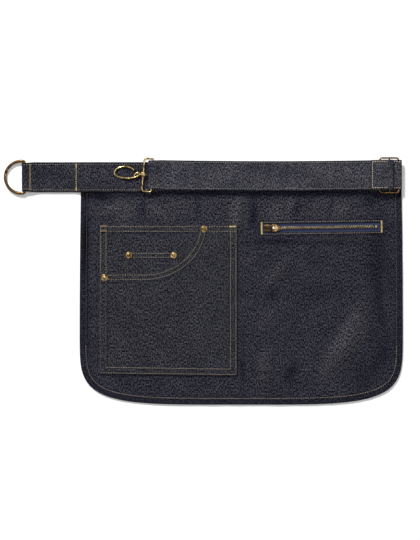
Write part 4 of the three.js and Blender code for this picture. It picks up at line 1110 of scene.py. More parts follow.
# Patch pocket: its whole back layer, the coin pocket on it, and its front layer with the curved mouth
pocket = {
    "slant": 2.4,
    "flat": 58.5,
    "mouthWidth": 71.5,
    "mouthDepth": 63.3,
    "step": 2.6,
    "edgeSeams": (1.5, 8.6),  # stitch lines from the outer edge
    "mouthSeams": (2.1, 7.7),  # from the mouth
    "topSeams": (2.5, 8.5),  # from the top
    "coinTopSeams": (1.7, 6.8),
    "coinSideSeams": (1.6, 4.4),
    "edgeWear": (0.2, 1.4),
    "seamDepth": 0.22,
}
pocketLow, pocketHigh = nodeBox("pocket_patch")
coinLow, coinHigh = nodeBox("coin_pocket")
pocketLeft, pocketRight = pocketLow[0], pocketHigh[0]
pocketBottom, pocketTop = pocketLow[1], pocketHigh[1]
mouthX = pocketLeft + pocket["flat"]
mouthY = pocketTop - pocket["mouthDepth"]


# The bottom edge's height, which falls evenly by the slant from left to right
def patchBottom(x):
    share = (x - pocketLeft) / (pocketRight - pocketLeft)
    return pocketBottom + pocket["slant"] * (1 - share)


# Distance from the nearest of both sides and the bottom
def sideInset(x, y):
    return np.minimum(np.minimum(x - pocketLeft, pocketRight - x), y - patchBottom(x))


# Distance from the mouth's edge, positive below it: straight on the left, then a quarter ellipse
def mouthInset(x, y):
    shareX = (x - mouthX) / pocket["mouthWidth"]
    shareY = (pocketTop - y) / pocket["mouthDepth"]
    norm = np.maximum(np.hypot(shareX, shareY), 1e-6)
    slope = np.hypot(shareX / norm / pocket["mouthWidth"], shareY / norm / pocket["mouthDepth"])
    curved = (norm - 1) / np.maximum(slope, 1e-9)
    return np.where(x < mouthX, mouthY - y, curved)


# Heights where the back layer, the coin pocket and the front layer begin: each a ply and a gap above the
# one before, the front layer only where the coin pocket lies under it
def patchBase(x, y):
    return clothRise(x, y) + cloth["ply"] + cloth["gap"]


def coinBase(x, y):
    return patchBase(x, y) + cloth["ply"] + cloth["gap"]


def frontBase(x, y):
    coinBox = (coinLow[0], coinHigh[0], coinLow[1], panelTop)
    lift = (cloth["ply"] + cloth["gap"]) * plateau(x, y, coinBox, cloth["liftSlope"])
    return coinBase(x, y) + lift


# A turned edge raised by the lift, with a dent at each of its two seams and a fall past the far one
def turnedEdge(inset, seams, lift):
    near, far = seams
    raised = lift * within(inset, far + 0.3, far + 1.6)
    return raised - pocket["seamDepth"] * (dent(inset - near, 0.7) + dent(inset - far, 0.7))


# Dents of a width along both seams of a pair
def seamPair(inset, seams, width):
    return dent(inset - seams[0], width) + dent(inset - seams[1], width)


# Half a ply over the layer's middle, with both turned edges, the pucker beside them and the top's seams
def frontFace(x, y):
    side = sideInset(x, y)
    mouth = mouthInset(x, y)
    top = pocketTop - y
    thick = cloth["ply"] / 2 + turnedEdge(side, pocket["edgeSeams"], 0.35)
    thick = thick + turnedEdge(mouth, pocket["mouthSeams"], 0.3)
    pucker = 0.14 * softNoise(x, y, 8, 41) * within(np.minimum(side, mouth), 6, 14)
    edge = np.minimum.reduce([roundOff(inset, 0.9) for inset in (side, mouth, top)])
    dip = pocket["seamDepth"] * seamPair(top, pocket["topSeams"], 0.7)
    return frontBase(x, y) + cloth["ply"] / 2 + (thick + pucker - dip * (side > 0)) * edge


# Half a ply over the layer's middle, dented along the top's two seams
def patchFace(x, y):
    top = pocketTop - y
    thick = cloth["ply"] / 2 - 0.2 * seamPair(top, pocket["topSeams"], 0.7)
    edge = np.minimum(roundOff(sideInset(x, y), 0.6), roundOff(top, 0.7))
    return patchBase(x, y) + cloth["ply"] / 2 + thick * edge


def coinInset(x, y):
    return np.minimum(np.minimum(x - coinLow[0], coinHigh[0] - x), y - coinLow[1])


# Half a ply over the layer's middle, raised along the top's hem and dented along its seams
def coinFace(x, y):
    side = coinInset(x, y)
    top = coinHigh[1] - y
    thick = cloth["ply"] / 2 + 0.25 * within(top, 6.4, 7.8)
    thick = thick - 0.2 * seamPair(top, pocket["coinTopSeams"], 0.6)
    thick = thick - 0.15 * dent(side - pocket["coinSideSeams"][1], 0.6)
    edge = np.minimum(roundOff(side, 0.6), roundOff(top, 0.8))
    return coinBase(x, y) + cloth["ply"] / 2 + thick * edge


# A flat underside, raised to the layer's middle where its edges are rounded off
def flatBack(base, insets):
    edge = np.minimum.reduce([roundOff(inset, 0.5) for inset in insets])
    return base + cloth["ply"] / 2 * (1 - edge)


# Attributes of both faces: the place in the cloth, shifted and turned, so that no two layers' grain meets,
# the wear, and the folds' fading with their painted light and shade, less the painted shade given
def clothAttributes(x, y, wear, shift=(0, 0), lean=0.0, paintedShade=0.0):
    placeX = (x + shift[0]).ravel()
    placeY = (y + shift[1]).ravel()
    turnedX = placeX * math.cos(lean) - placeY * math.sin(lean)
    turnedY = placeX * math.sin(lean) + placeY * math.cos(lean)
    fadeAndShade = clothFadeAndShade(x, y) * 0.8 - paintedShade
    return {
        "cloth": np.tile(np.stack([turnedX, turnedY, placeX * 0], axis=-1), (2, 1)),
        "wear": np.tile(wear.ravel(), 2),
        "fadeAndShade": np.tile(fadeAndShade.ravel(), 2),
    }


edgeLines = (0, 0.12, 0.35, 0.7, 1.2, 1.8, 2.5, 3.4, 5, 6.6, 7.6, 8.4, 9.2, 10.4)


# Upright lines, each with its rows as shares of the way from the slanted bottom to the top
def makePatch():
    lineX = gridLines(pocketLeft, pocketRight, pocket["step"], [pocketLeft, pocketRight], edgeLines)
    tall = pocketTop - pocketBottom
    shares = gridLines(0, tall, pocket["step"], [0, tall], edgeLines)
    x, share = np.meshgrid(lineX, shares / shares[-1])
    y = patchBottom(x) + (pocketTop - patchBottom(x)) * share
    side = sideInset(x, y)
    top = pocketTop - y
    back = flatBack(patchBase(x, y), [side, top])
    points, faces = closedSheet(x, y, patchFace(x, y), back)
    wear = 0.55 * within(np.minimum(side, top), *pocket["edgeWear"])
    # Painted shade in a line below the top hem's lower seam
    paintedShade = 0.45 * dent(top - pocket["topSeams"][1] - 1.7, 1)
    attributes = clothAttributes(x, y, wear, (300, 0), 0, paintedShade)
    where = (pocketDenim, "apron", attributes, "pocket_patch", "denim")
    piece = addPiece("pocketPatchCloth", points, faces, *where)
    return piece


# An even grid with close lines along its edges
def makeCoinPocket():
    lineX = gridLines(coinLow[0], coinHigh[0], 2.4, [coinLow[0], coinHigh[0]], edgeLines[:10])
    lineY = gridLines(coinLow[1], coinHigh[1], 2.4, [coinLow[1], coinHigh[1]], edgeLines[:12])
    x, y = np.meshgrid(lineX, lineY)
    side = coinInset(x, y)
    top = coinHigh[1] - y
    back = flatBack(coinBase(x, y), [side, top])
    points, faces = closedSheet(x, y, coinFace(x, y), back)
    wear = 0.6 * within(np.minimum(side, top), *pocket["edgeWear"])
    # Painted shade in a line below the coin pocket's top hem
    paintedShade = 0.45 * dent(top - pocket["coinTopSeams"][1] - 1.6, 0.9)
    attributes = clothAttributes(x, y, wear, (-500, 0), 0.03, paintedShade)
    where = (pocketDenim, "apron", attributes, "coin_pocket", "denim")
    piece = addPiece("coinPocketCloth", points, faces, *where)
    return piece


frontGrid = {"turnShare": 0.52, "nearEnds": 14, "mouthStep": 3, "curveLines": 34, "across": 2.8}


# Each line across runs straight from a point on the mouth to one on the outer edge, bottom then right side
def makeFront():
    turns = np.sin(np.linspace(0, np.pi / 2, frontGrid["curveLines"]))[1:]
    straight = gridLines(0, pocket["flat"], frontGrid["mouthStep"], [0], edgeLines)
    mouthLineX = np.concatenate([pocketLeft + straight, mouthX + pocket["mouthWidth"] * turns])
    reach = ((mouthLineX - mouthX) / pocket["mouthWidth"]).clip(0, 1)
    drop = np.sqrt(np.clip(1 - reach**2, 0, 1))
    mouthLineY = pocketTop - pocket["mouthDepth"] * drop
    along = alongLine(np.stack([mouthLineX, mouthLineY], axis=-1))
    end = along[-1]
    fine = gridLines(0, end, pocket["step"], [0, end], edgeLines)
    mouthLineX = np.interp(fine, along, mouthLineX)
    mouthLineY = np.interp(fine, along, mouthLineY)
    wide = pocketRight - pocketLeft
    tall = pocketTop - pocketBottom
    turnAt = end * frontGrid["turnShare"]
    # Near both ends the outer points keep the mouth's own spacing, so that the edges' close rows stay close
    near = frontGrid["nearEnds"]
    spanX = (fine - near) / (turnAt - near)
    spanY = (fine - turnAt) / (end - near - turnAt)
    outerX = np.where(fine < near, pocketLeft + fine, pocketLeft + near + (wide - near) * spanX)
    outerX = np.where(fine < turnAt, outerX, pocketRight)
    outerY = np.where(fine > end - near, pocketTop - (end - fine), pocketBottom + (tall - near) * spanY)
    outerY = np.where(fine < turnAt, patchBottom(outerX), outerY)
    length = np.hypot(outerX - mouthLineX, outerY - mouthLineY).max()
    share = gridLines(0, length, frontGrid["across"], [0, length], edgeLines)[:, None] / length
    x = mouthLineX + (outerX - mouthLineX) * share
    y = mouthLineY + (outerY - mouthLineY) * share
    side = sideInset(x, y)
    mouth = mouthInset(x, y)
    top = pocketTop - y
    back = flatBack(frontBase(x, y), [side, np.abs(mouth), top])
    points, faces = closedSheet(x, y, frontFace(x, y), back)
    nearEdge = np.minimum.reduce([side, np.abs(mouth), top])
    wear = 0.7 * within(nearEdge, 0.2, 1.5) + 0.15 * dent(mouth - 8.6, 0.8)
    # Painted shade in lines just past the turned edges of the mouth and the sides
    paintedShade = 0.4 * dent(mouth - 9.4, 1) + 0.35 * dent(side - 10, 1)
    attributes = clothAttributes(x, y, wear, (-100, 0), 0, paintedShade)
    where = (pocketDenim, "apron", attributes, "pocket_front", "denim")
    piece = addPiece("pocketFrontCloth", points, faces, *where)
    return piece


makePatch()
makeCoinPocket()
makeFront()
print("pocket made")


# Stitches

# One stitch: rings of points, thick in the middle, closed at both ends and bowed up a little
ringCount = 6
sideCount = 6
stitchRings = np.linspace(-1, 1, ringCount)
stitchTurns = np.arange(sideCount) * 2 * np.pi / sideCount
stitchThick = np.sqrt(np.clip(1 - np.abs(stitchRings) ** 2.6, 0, 1))
stitchBow = np.repeat(0.25 - 0.5 * stitchRings**2, sideCount)
stitchShape = {
    "along": np.repeat(stitchRings, sideCount) / 2,
    "across": np.outer(stitchThick, np.cos(stitchTurns)).ravel() / 2,
    "up": np.outer(stitchThick, np.sin(stitchTurns)).ravel() / 2 + stitchBow,
}
seam = {"pitch": 3.1, "length": 2.0, "width": 0.58, "height": 0.42, "square": False}
barTack = {"pitch": 0.6, "length": 2.2, "width": 0.6, "height": 0.6, "square": True}
tackMargin = 1.2


# Places and directions at even steps along a line
def stepsAlong(points, pitch, look=0.6):
    points = np.array(points, float)
    along = alongLine(points)
    count = max(1, int(along[-1] / pitch))
    at = (np.arange(count) + 0.5) * along[-1] / count

    def placeAt(distance):
        return np.stack([np.interp(distance, along, points[:, k]) for k in (0, 1)], axis=-1)

    way = placeAt(at + look) - placeAt(at - look)
    return placeAt(at), way / np.linalg.norm(way, axis=1, keepdims=True)


def leftOf(way):
    return np.stack([-way[:, 1], way[:, 0]], axis=-1)


# Rows of stitches joined into one mesh: the stitch's shape is laid along each place's way, or square to it
# for a bar tack, skewed and stretched a little by seeded draws, on the surface face(u, v)
def sew(name, rows, face, thread, seed, size=seam):
    places, ways = zip(*(stepsAlong(row, size["pitch"]) for row in rows))
    place = np.concatenate(places)
    way = np.concatenate(ways)
    if size["square"]:
        way = leftOf(way)
    draw = np.random.default_rng(seed)
    skew = draw.normal(0, 0.05, len(place))[:, None]
    way = way + leftOf(way) * skew
    long = size["length"] * draw.normal(1, 0.05, len(place))[:, None]
    forward = way[:, :, None] * (long * stitchShape["along"])[:, None]
    sideways = leftOf(way)[:, :, None] * (size["width"] * stitchShape["across"])
    u, v = (place[:, :, None] + forward + sideways).transpose(1, 0, 2)
    points, normals = face(u.ravel(), v.ravel())
    up = np.tile(stitchShape["up"] * size["height"], len(place))
    points = points + normals * up[:, None]
    single = ringFaces(ringCount, sideCount)
    firsts = ringCount * sideCount * np.arange(len(place))
    faces = (single[None] + firsts[:, None, None]).reshape(-1, 4)
    return addPiece(name, points, faces, thread, "apron")


# A draped layer's face as places and directions: the height function with its slopes by small steps
def drapedFace(level):
    def face(u, v):
        small = 0.4
        z = level(u, v)
        slopeX = (level(u + small, v) - z) / small
        slopeY = (level(u, v + small) - z) / small
        normal = np.stack([-slopeX, -slopeY, slopeX * 0 + 1], axis=-1)
        normal = normal / np.linalg.norm(normal, axis=1, keepdims=True)
        return np.stack([u, v, z], axis=-1), normal

    return face


# The hem's stitch line: the outline, whose corners are the curve where the power mean is 1, moved in
# along its normals by the stitch's own inset
def hemRow():
    angle = np.linspace(np.pi, 2 * np.pi, 400)
    power = panelShape["cornerPower"]
    size = (np.abs(np.cos(angle)) ** power + np.abs(np.sin(angle)) ** power) ** (-1 / power)
    x = halfWidth * size * np.cos(angle)
    y = sideBottom + panelShape["cornerReach"] * size * np.sin(angle)
    down = np.linspace(bandBottom - 1, sideBottom, 60)
    left = np.stack([-halfWidthAt(down), down], axis=-1)
    right = left[::-1] * [-1, 1]
    line = np.concatenate([left[:-1], np.stack([x, y], axis=-1), right[1:]])
    return line + lineNormals(line) * panelShape["hemStitch"]


# Points in the zip's own directions, turned into the apron's
def zipTurned(points):
    along, aside = np.array(points, float).T
    tilt = zipWindow["tilt"]
    x = zipX + along * math.cos(tilt) - aside * math.sin(tilt)
    y = zipY + along * math.sin(tilt) + aside * math.cos(tilt)
    return np.stack([x, y], axis=-1)


# A stitch line along the mouth: a larger quarter ellipse, then straight to the left edge
def mouthRow(inset):
    angle = np.linspace(0, np.pi / 2, 60)
    x = mouthX + (pocket["mouthWidth"] + inset) * np.cos(angle)
    y = pocketTop - (pocket["mouthDepth"] + inset) * np.sin(angle)
    curve = np.stack([x, y], axis=-1)
    curve = curve[curve[:, 1] < pocketTop - tackMargin]
    return np.concatenate([curve, [[pocketLeft + tackMargin, mouthY - inset]]])


# A row across at a height, and one up and down at a place
def levelRow(left, right, y):
    return [(left, y), (right, y)]


def uprightRow(x, start, end):
    return [(x, start), (x, end)]


def sewPanel():
    face = drapedFace(panelFace)
    hem = hemRow()
    lowest = hem[:, 1] < sideBottom - 20
    leftPart = hem[~lowest & (hem[:, 0] < 0)]
    rightPart = hem[~lowest & (hem[:, 0] > 0)]
    sew("hemStitches", [hem[lowest]], face, tanThread, 2)
    sew("hemSideStitches", [leftPart, rightPart], face, dullThread, 22)
    reach = zipWindow["length"] / 2 + panelShape["windowStitch"]
    aside = zipWindow["width"] / 2 + panelShape["windowStitch"]
    rows = [zipTurned([(-reach, side * aside), (reach, side * aside)]) for side in (1, -1)]
    sew("zipStitches", rows, face, tanThread, 3)
    ends = [side * (reach - 0.6) for side in (-1, 1)]
    tacks = [zipTurned([(end, -aside), (end, aside)]) for end in ends]
    sew("zipTacks", tacks, face, goldThread, 4, {**barTack, "pitch": 0.62, "length": 2.9, "width": 0.62})


def sewPocket():
    front = drapedFace(frontFace)
    patch = drapedFace(patchFace)
    coin = drapedFace(coinFace)
    margin = tackMargin
    bottomLeft = patchBottom(pocketLeft)
    mouthEnd = mouthX + pocket["mouthWidth"]
    edgeSeams = pocket["edgeSeams"]
    rows = [uprightRow(pocketLeft + inset, mouthY - 1.5, bottomLeft + inset) for inset in edgeSeams]
    sew("pocketLeftStitches", rows, front, dullThread, 23)
    rows = []
    for inset in edgeSeams:
        corner = (pocketRight - inset, pocketBottom + inset)
        rows.append([(pocketLeft + inset, bottomLeft + inset), corner, (corner[0], pocketTop - 1.5)])
    rows += [mouthRow(inset) for inset in pocket["mouthSeams"]]
    tops = [pocketTop - drop for drop in pocket["topSeams"]]
    rows += [levelRow(mouthEnd + 1.4, pocketRight - margin, y) for y in tops]
    sew("pocketStitches", rows, front, tanThread, 5)
    rows = [levelRow(pocketLeft + margin, mouthEnd - 2, y) for y in tops]
    rows += [uprightRow(pocketLeft + inset, pocketTop - margin, mouthY) for inset in edgeSeams]
    sew("patchStitches", rows, patch, tanThread, 6)
    left, right, top = coinLow[0], coinHigh[0], coinHigh[1]
    rows = [levelRow(left + margin, right - margin, top - drop) for drop in pocket["coinTopSeams"]]
    sew("coinStitches", rows, coin, tanThread, 7)
    sides = [left + inset for inset in pocket["coinSideSeams"]]
    sides += [right - inset for inset in pocket["coinSideSeams"]]
    rows = [uprightRow(x, top - 7.5, coinLow[1] + 2) for x in sides]
    sew("coinSideStitches", rows, coin, dullThread, 24)
    tacks = [levelRow(pocketLeft + 1.6, pocketLeft + 9.6, pocketTop - drop) for drop in (1.6, 8)]
    sew("pocketTacksLeft", tacks, patch, amberThread, 8, barTack)
    tacks = [levelRow(pocketRight - 10, pocketRight - 2, pocketTop - 2.4)]
    sew("pocketTacksRight", tacks, front, goldThread, 9, barTack)


# Rows on the waistband and on the strap run along their lines and across them
crossSeam = {"pitch": 2.6, "length": 2.3, "width": 0.95, "height": 0.55, "square": False}
tailSeam = {"pitch": 2.7, "length": 2.25, "width": 0.9, "height": 0.5, "square": False}
crossSeams = {"holding": -273.4, "crossing": -213.2, "lineShift": 1.2}


def sewBand():
    face = stripFace(bandStrip)
    along = alongLine(bandLine)
    start = along[int(np.argmin(bandLine[:, 0]))]
    half = band["width"] / 2
    edge = half - band["seam"]
    sew("bandStitches", [levelRow(start + 3, along[-1] - 2, -edge)], face, tanThread, 10)
    sew("bandTopStitches", [levelRow(start + 3, along[-1] - 2, edge)], face, paleThread, 11)
    fromLeft = start - bandLine[:, 0].min() + crossSeams["lineShift"]
    holding = fromLeft + crossSeams["holding"]
    crossing = fromLeft + crossSeams["crossing"]
    rows = [uprightRow(at, -half + 2, half - 2) for at in (holding, crossing)]
    sew("bandCrossStitches", rows, face, goldThread, 12, crossSeam)
    tacks = [uprightRow(crossing, side * (half - 7), side * (half - 2)) for side in (-1, 1)]
    sew("bandTacks", tacks, face, goldThread, 13, {**barTack, "length": 1.8})


def sewStrap():
    edge = strap["width"] / 2 - strap["seam"]
    edges = (edge, -edge)
    rows = [levelRow(strapTurn + 3, strapBack + 4, w) for w in edges]
    sew("strapStitches", rows, stripFace(strapStrip), paleThread, 14)
    end = strapAlong[-1]
    fold = strapAlong[int(np.argmax(strapLine[:, 0]))]
    rows = [levelRow(end - 22, end - 1.5, w) for w in edges]
    rows.append(uprightRow(end - 1.7, -edge, edge))
    rows += [levelRow(fold + 2, fold + 12, w) for w in edges]
    sew("tailStitches", rows, stripFace(strapStrip, -1), brightThread, 15, tailSeam)


sewPanel()
sewPocket()
sewBand()
sewStrap()
print("stitching made")


# Fittings

# A round section carried along a flat path: across is the path's normal, up is Z; open ends are domed
def tube(path, radius, sides=20, closed=False):
    path = np.array(path, float)
    if closed:
        step = np.roll(path, -1, axis=0) - np.roll(path, 1, axis=0)
        radii = np.full(len(path), radius)
    else:
        cap = np.linspace(0, np.pi / 2, 6)[1:]
        first = (path[0] - path[1]) / np.linalg.norm(path[0] - path[1])
        last = (path[-1] - path[-2]) / np.linalg.norm(path[-1] - path[-2])
        before = path[0] + first * radius * np.sin(cap)[::-1, None]
        after = path[-1] + last * radius * np.sin(cap)[:, None]
        dome = radius * np.cos(cap)
        radii = np.concatenate([dome[::-1], np.full(len(path), radius), dome])
        path = np.concatenate([before, path, after])
        step = np.gradient(path, axis=0)
    step = step / np.linalg.norm(step, axis=1, keepdims=True)
    angle = 2 * np.pi * np.arange(sides) / sides
    side = radii[:, None] * np.cos(angle)
    x = path[:, :1] - step[:, 1:] * side
    y = path[:, 1:] + step[:, :1] * side
    z = radii[:, None] * np.sin(angle) + x * 0
    return np.stack([x, y, z], axis=-1).reshape(-1, 3), ringFaces(len(path), sides, closed)


# The outline through some corners, each rounded by a parabola of its own reach, as points a step apart
def roundedPath(corners, steps=10, spacing=1.5):
    t = np.linspace(0, 1, steps)[:, None]
    points = np.array([corner[:2] for corner in corners], float)
    reach = np.array([corner[2] for corner in corners], float)
    parts = []
    for k, at in enumerate(points):
        before = points[k - 1] - at
        after = points[(k + 1) % len(points)] - at
        start = at + before / np.linalg.norm(before) * reach[k]
        end = at + after / np.linalg.norm(after) * reach[k]
        parts.append((1 - t) ** 2 * start + 2 * t * (1 - t) * at + t**2 * end)
    line = np.concatenate(parts + [parts[0][:1]])
    return fillLine(line, spacing)[:-1]


# A smooth curve through points: between two of them, the cubic whose slopes are half their neighbours' step
def smoothCurve(points, steps=8):
    points = np.array(points, float)
    padded = np.concatenate([[2 * points[0] - points[1]], points, [2 * points[-1] - points[-2]]])
    t = np.linspace(0, 1, steps, endpoint=False)[:, None]
    before, start = padded[:-3, None], padded[1:-2, None]
    end, after = padded[2:-1, None], padded[3:, None]
    cubic = 2 * start + (end - before) * t
    cubic = cubic + (2 * before - 5 * start + 4 * end - after) * t**2
    cubic = (cubic + (3 * start - before - 3 * end + after) * t**3) / 2
    return np.concatenate([cubic.reshape(-1, 2), points[-1:]])


# A profile of (along, radius) turned about X; a profile that ends on the axis closes there
def revolved(profile, sides=40):
    profile = np.array(profile, float)
    angle = 2 * np.pi * np.arange(sides) / sides
    x = profile[:, :1] + angle * 0
    y = profile[:, 1:] * np.cos(angle)
    z = profile[:, 1:] * np.sin(angle)
    return np.stack([x, y, z], axis=-1).reshape(-1, 3), ringFaces(len(profile), sides)


# Points and faces of some meshes as one
def joined(*parts):
    count = 0
    allFaces = []
    for points, faces in parts:
        allFaces.append(faces + count)
        count += len(points)
    return np.concatenate([part[0] for part in parts]), np.concatenate(allFaces)


# A box with rounded sides: a superellipsoid, its sine and cosine raised to a power below 1
def roundedBlock(size, power=0.35, rings=8, sides=12):
    lift = np.linspace(-np.pi / 2, np.pi / 2, rings)[:, None]
    turn = 2 * np.pi * (np.arange(sides) + 0.5) / sides

    def bent(value):
        return np.sign(value) * np.abs(value) ** power

    x = bent(np.cos(lift)) * bent(np.cos(turn)) * size[0] / 2
    y = bent(np.cos(lift)) * bent(np.sin(turn)) * size[1] / 2
    z = bent(np.sin(lift)) * size[2] / 2 + turn * 0
    return np.stack([x, y, z], axis=-1).reshape(-1, 3), ringFaces(rings, sides)


# A tube along a straight bar with two small corners, then a half circle
def makeDRing():
    radius = (ring["inside"] + ring["wire"]) / 2
    side = ring["side"]
    bow = np.linspace(np.pi / 2, 3 * np.pi / 2, 60)
    curve = np.stack([-side + radius * np.cos(bow), radius * np.sin(bow)], axis=-1)
    ends = [(-side - 4, radius, 0.01), (-side - 4, -radius, 0.01)]
    corners = roundedPath([(0, -radius, ring["corner"]), (0, radius, ring["corner"]), *ends])
    bar = corners[corners[:, 0] > -side + 0.5]
    path = np.concatenate([bar[np.argsort(bar[:, 1])], curve])
    points, faces = tube(path, ring["wire"] / 2, 24, True)
    tilt = math.asin((ringBar[2] - ring["wire"] / 2) / (side + radius))
    points = placed(points, ringBar, 0, tilt)
    addPiece("dRing", points, faces, bronze, "d_ring", None, "d_ring", "bronze")


# A tube round the frame's rectangle and another across it, which rises to the middle bar's height
def makeSliderBuckle():
    half = (slider["length"] - slider["bar"]) / 2
    span = slider["span"] / 2
    corner = slider["corner"]
    corners = [(span, -half, corner), (span, half, corner), (-span, half, corner), (-span, -half, corner)]
    frameTube = tube(roundedPath(corners), slider["bar"] / 2, 20, True)
    lift = middleBarZ - outerBarZ
    rise = [(-half + inward, lift * share) for inward, share in slider["barRise"]]
    bow = smoothCurve(rise + [(-y, z) for y, z in rise[::-1]], 6)
    middle, middleFaces = tube(bow, slider["bar"] / 2)
    middle = np.stack([middle[:, 2], middle[:, 0], middle[:, 1]], axis=-1)
    points, faces = joined(frameTube, (middle, middleFaces))
    low, high = nodeBox("slider_buckle")
    origin = [sliderX, (low[1] + high[1]) / 2, outerBarZ]
    addPiece("sliderBuckle", points + origin, faces, bronze, "apron", None, "slider_buckle", "bronze")


# The clip lies down until its hook's tip rests on the waistband
bossEnd = clip["depth"] + clip["bossLength"] / 2 + cloth["gap"]
clipReach = bossEnd + clip["hookHeadLength"] + clip["hookLength"]
clipTilt = math.asin((clipBar[2] - (underClip + clip["hookWire"] / 2)) / clipReach)


# A tube round the loop's rectangle, and the boss: a profile with a bore turned about X, widened outside it
def makeClipRing():
    half = (clip["inside"] + clip["wire"]) / 2
    depth = clip["depth"]
    corners = [
        (0, -half, clip["barCorner"]),
        (0, half, clip["barCorner"]),
        (-depth, half, clip["corner"]),
        (-depth, -half, clip["corner"]),
    ]
    loop = tube(roundedPath(corners), clip["wire"] / 2, 22, True)
    bore = clip["pin"] + cloth["gap"]
    long = clip["bossLength"] / 2
    high = clip["bossHeight"] / 2
    chamfer = 0.5
    outside = [
        (-long, high * 0.8),
        (-long + chamfer, high),
        (0, high * 1.03),
        (long - chamfer, high),
        (long, high * 0.8),
    ]
    profile = np.array([(-long, bore), *outside, (long, bore), (0, bore), (-long, bore)])
    sides = 40
    points, faces = revolved(profile, sides)
    outer = np.repeat(profile[:, 1] > bore + 0.1, sides)
    points[:, 1] = np.where(outer, points[:, 1] * clip["bossWidth"] / clip["bossHeight"], points[:, 1])
    points, faces = joined(loop, (points + [-depth, 0, 0], faces))
    points = placed(points, clipBar, clip["yaw"], clipTilt)
    addPiece("clipRing", points, faces, brass, "clip_ring", None, "clip_ring", "brass", 40)


# The bends of the hook's wire as shares of its length and width, from its nose round the tip to the eye
hookBends = [
    (0.236, 0.354),
    (0.33, 0.476),
    (0.487, 0.571),
    (0.676, 0.558),
    (0.865, 0.408),
    (1, 0.109),
    (0.994, -0.163),
    (0.855, -0.354),
    (0.645, -0.429),
    (0.393, -0.422),
    (0.173, -0.299),
    (0.038, -0.136),
    (-0.013, 0.02),
    (0.044, 0.129),
    (0.132, 0.041),
    (0.201, -0.15),
]


# A tube along the hook's bends, and its pin: rivet head, shank and collar as one profile turned about X
def makeClipHook():
    collarStart = -bossEnd
    collarEnd = collarStart - clip["hookHeadLength"]
    bends = [
        (collarEnd - along * clip["hookLength"], across * clip["hookWidth"]) for along, across in hookBends
    ]
    wire = tube(smoothCurve(bends), clip["hookWire"] / 2, 20)
    rivetStart = -clip["depth"] + clip["bossLength"] / 2 + cloth["gap"]
    head = clip["rivetHead"]
    long = clip["rivetLength"]
    collar = clip["hookHead"]
    rivet = [(1, 0), (0.95, 0.55), (0.6, 0.93)]  # shares of the head's length and radius
    pin = revolved([
        *[(rivetStart + long * along, head * radius) for along, radius in rivet],
        (rivetStart + 0.3, head),
        (rivetStart, head * 0.9),
        (rivetStart, clip["pin"]),
        (collarStart, clip["pin"]),
        (collarStart, collar * 0.9),
        (collarStart - 0.3, collar),
        (collarEnd + 0.5, collar),
        (collarEnd, collar * 0.8),
        (collarEnd, 0),
    ])
    points, faces = joined(wire, pin)
    points = placed(points, clipBar, clip["yaw"], clipTilt)
    addPiece("clipHook", points, faces, brass, "clip_hook", None, "clip_hook", "brass", 40)


# The rivet's cap from its underside to its nub: millimetres below its top, and share of its radius
rivetProfile = [
    (1.45, 0.93),
    (1.2, 1),
    (0.75, 0.97),
    (0.42, 0.84),
    (0.5, 0.72),
    (0.66, 0.62),
    (0.62, 0.5),
    (0.2, 0.4),
    (0.02, 0.22),
    (0, 0),
]
rivetShank = 1.2


# Turns a profile of (height, radius) about the upright line through a place
def upright(profile, place, sides):
    points, faces = revolved(profile, sides)
    return np.stack([points[:, 1] + place[0], points[:, 2] + place[1], points[:, 0]], axis=-1), faces


# A domed cap with a raised rim and a small nub, on its shank
def makeRivet(name):
    low, high = nodeBox(name)
    radius = (high[0] - low[0]) / 2
    capBottom = high[2] - rivetProfile[0][0]
    profile = [(low[2], 0), (low[2], rivetShank), (capBottom, rivetShank)]
    profile += [(high[2] - below, radius * share) for below, share in rivetProfile]
    points, faces = upright(profile, (low + high) / 2, 36)
    addPiece(name.replace("_", "") + "Cap", points, faces, rivetBrass, "apron", None, name, "brass", 50)


makeDRing()
makeSliderBuckle()
makeClipRing()
makeClipHook()
for rivetName in ("rivet_coin_left", "rivet_coin_right", "rivet_mouth_left", "rivet_mouth_right"):
    makeRivet(rivetName)
print("fittings made")


# Zip
zipSize = {
    "tooth": (1.5, 2.5, 1.5),
    "pitch": 3.0,
    "toothAside": 0.78,
    "toothHeight": 1.7,
    "firstTooth": 0.9,
    "underSlider": 0.6,  # share of the slider's length that the chain starts behind
    "fromEnd": 11.7,
    "chainEndGap": 8,
    "stop": (2.4, 4.6, 1.7),
    "stopGap": 1.8,
    "sliderLength": 11.3,
    "sliderWidth": 11,
    "nose": 0.6,
    "plate": 1.0,
}
chainZ = cloth["ply"] + cloth["gap"]
chainTop = chainZ + zipSize["toothHeight"]
sliderLeft = -zipWindow["length"] / 2 + zipSize["fromEnd"]
chainRight = zipWindow["length"] / 2 - zipSize["chainEndGap"]
plateTop = chainTop + cloth["gap"] + zipSize["plate"]
zipOrigin = np.array([zipX, zipY, 0])
pullPivot = jointPlace("zip_pull_swing")
tapeRelief = {"cord": 0.28, "cordAside": 1.9, "gutter": 0.12, "gutterAside": 4.2, "below": 0.08}


# A flat tape with a cord along each row of teeth and a gutter beside it
def makeZipTape():
    half = tapeHalf
    x, y = np.meshgrid(np.linspace(-half[0], half[0], 120), np.linspace(-half[1], half[1], 41))
    cord = tapeRelief["cord"] * dent(np.abs(y) - tapeRelief["cordAside"], 0.8)
    gutter = tapeRelief["gutter"] * dent(np.abs(y) - tapeRelief["gutterAside"], 1.2)
    top = cloth["ply"] + cord - gutter + 0.04 * softNoise(x, y, 9, 61) - tapeRelief["below"]
    points, faces = closedSheet(x, y, top, x * 0)
    attributes = clothAttributes(x, y, x * 0)
    points = placed(points, zipOrigin, zipWindow["tilt"])
    where = (tapeCloth, "apron", attributes, "zip_tape", "zip_tape")
    piece = addPiece("zipTapeCloth", points, faces, *where)


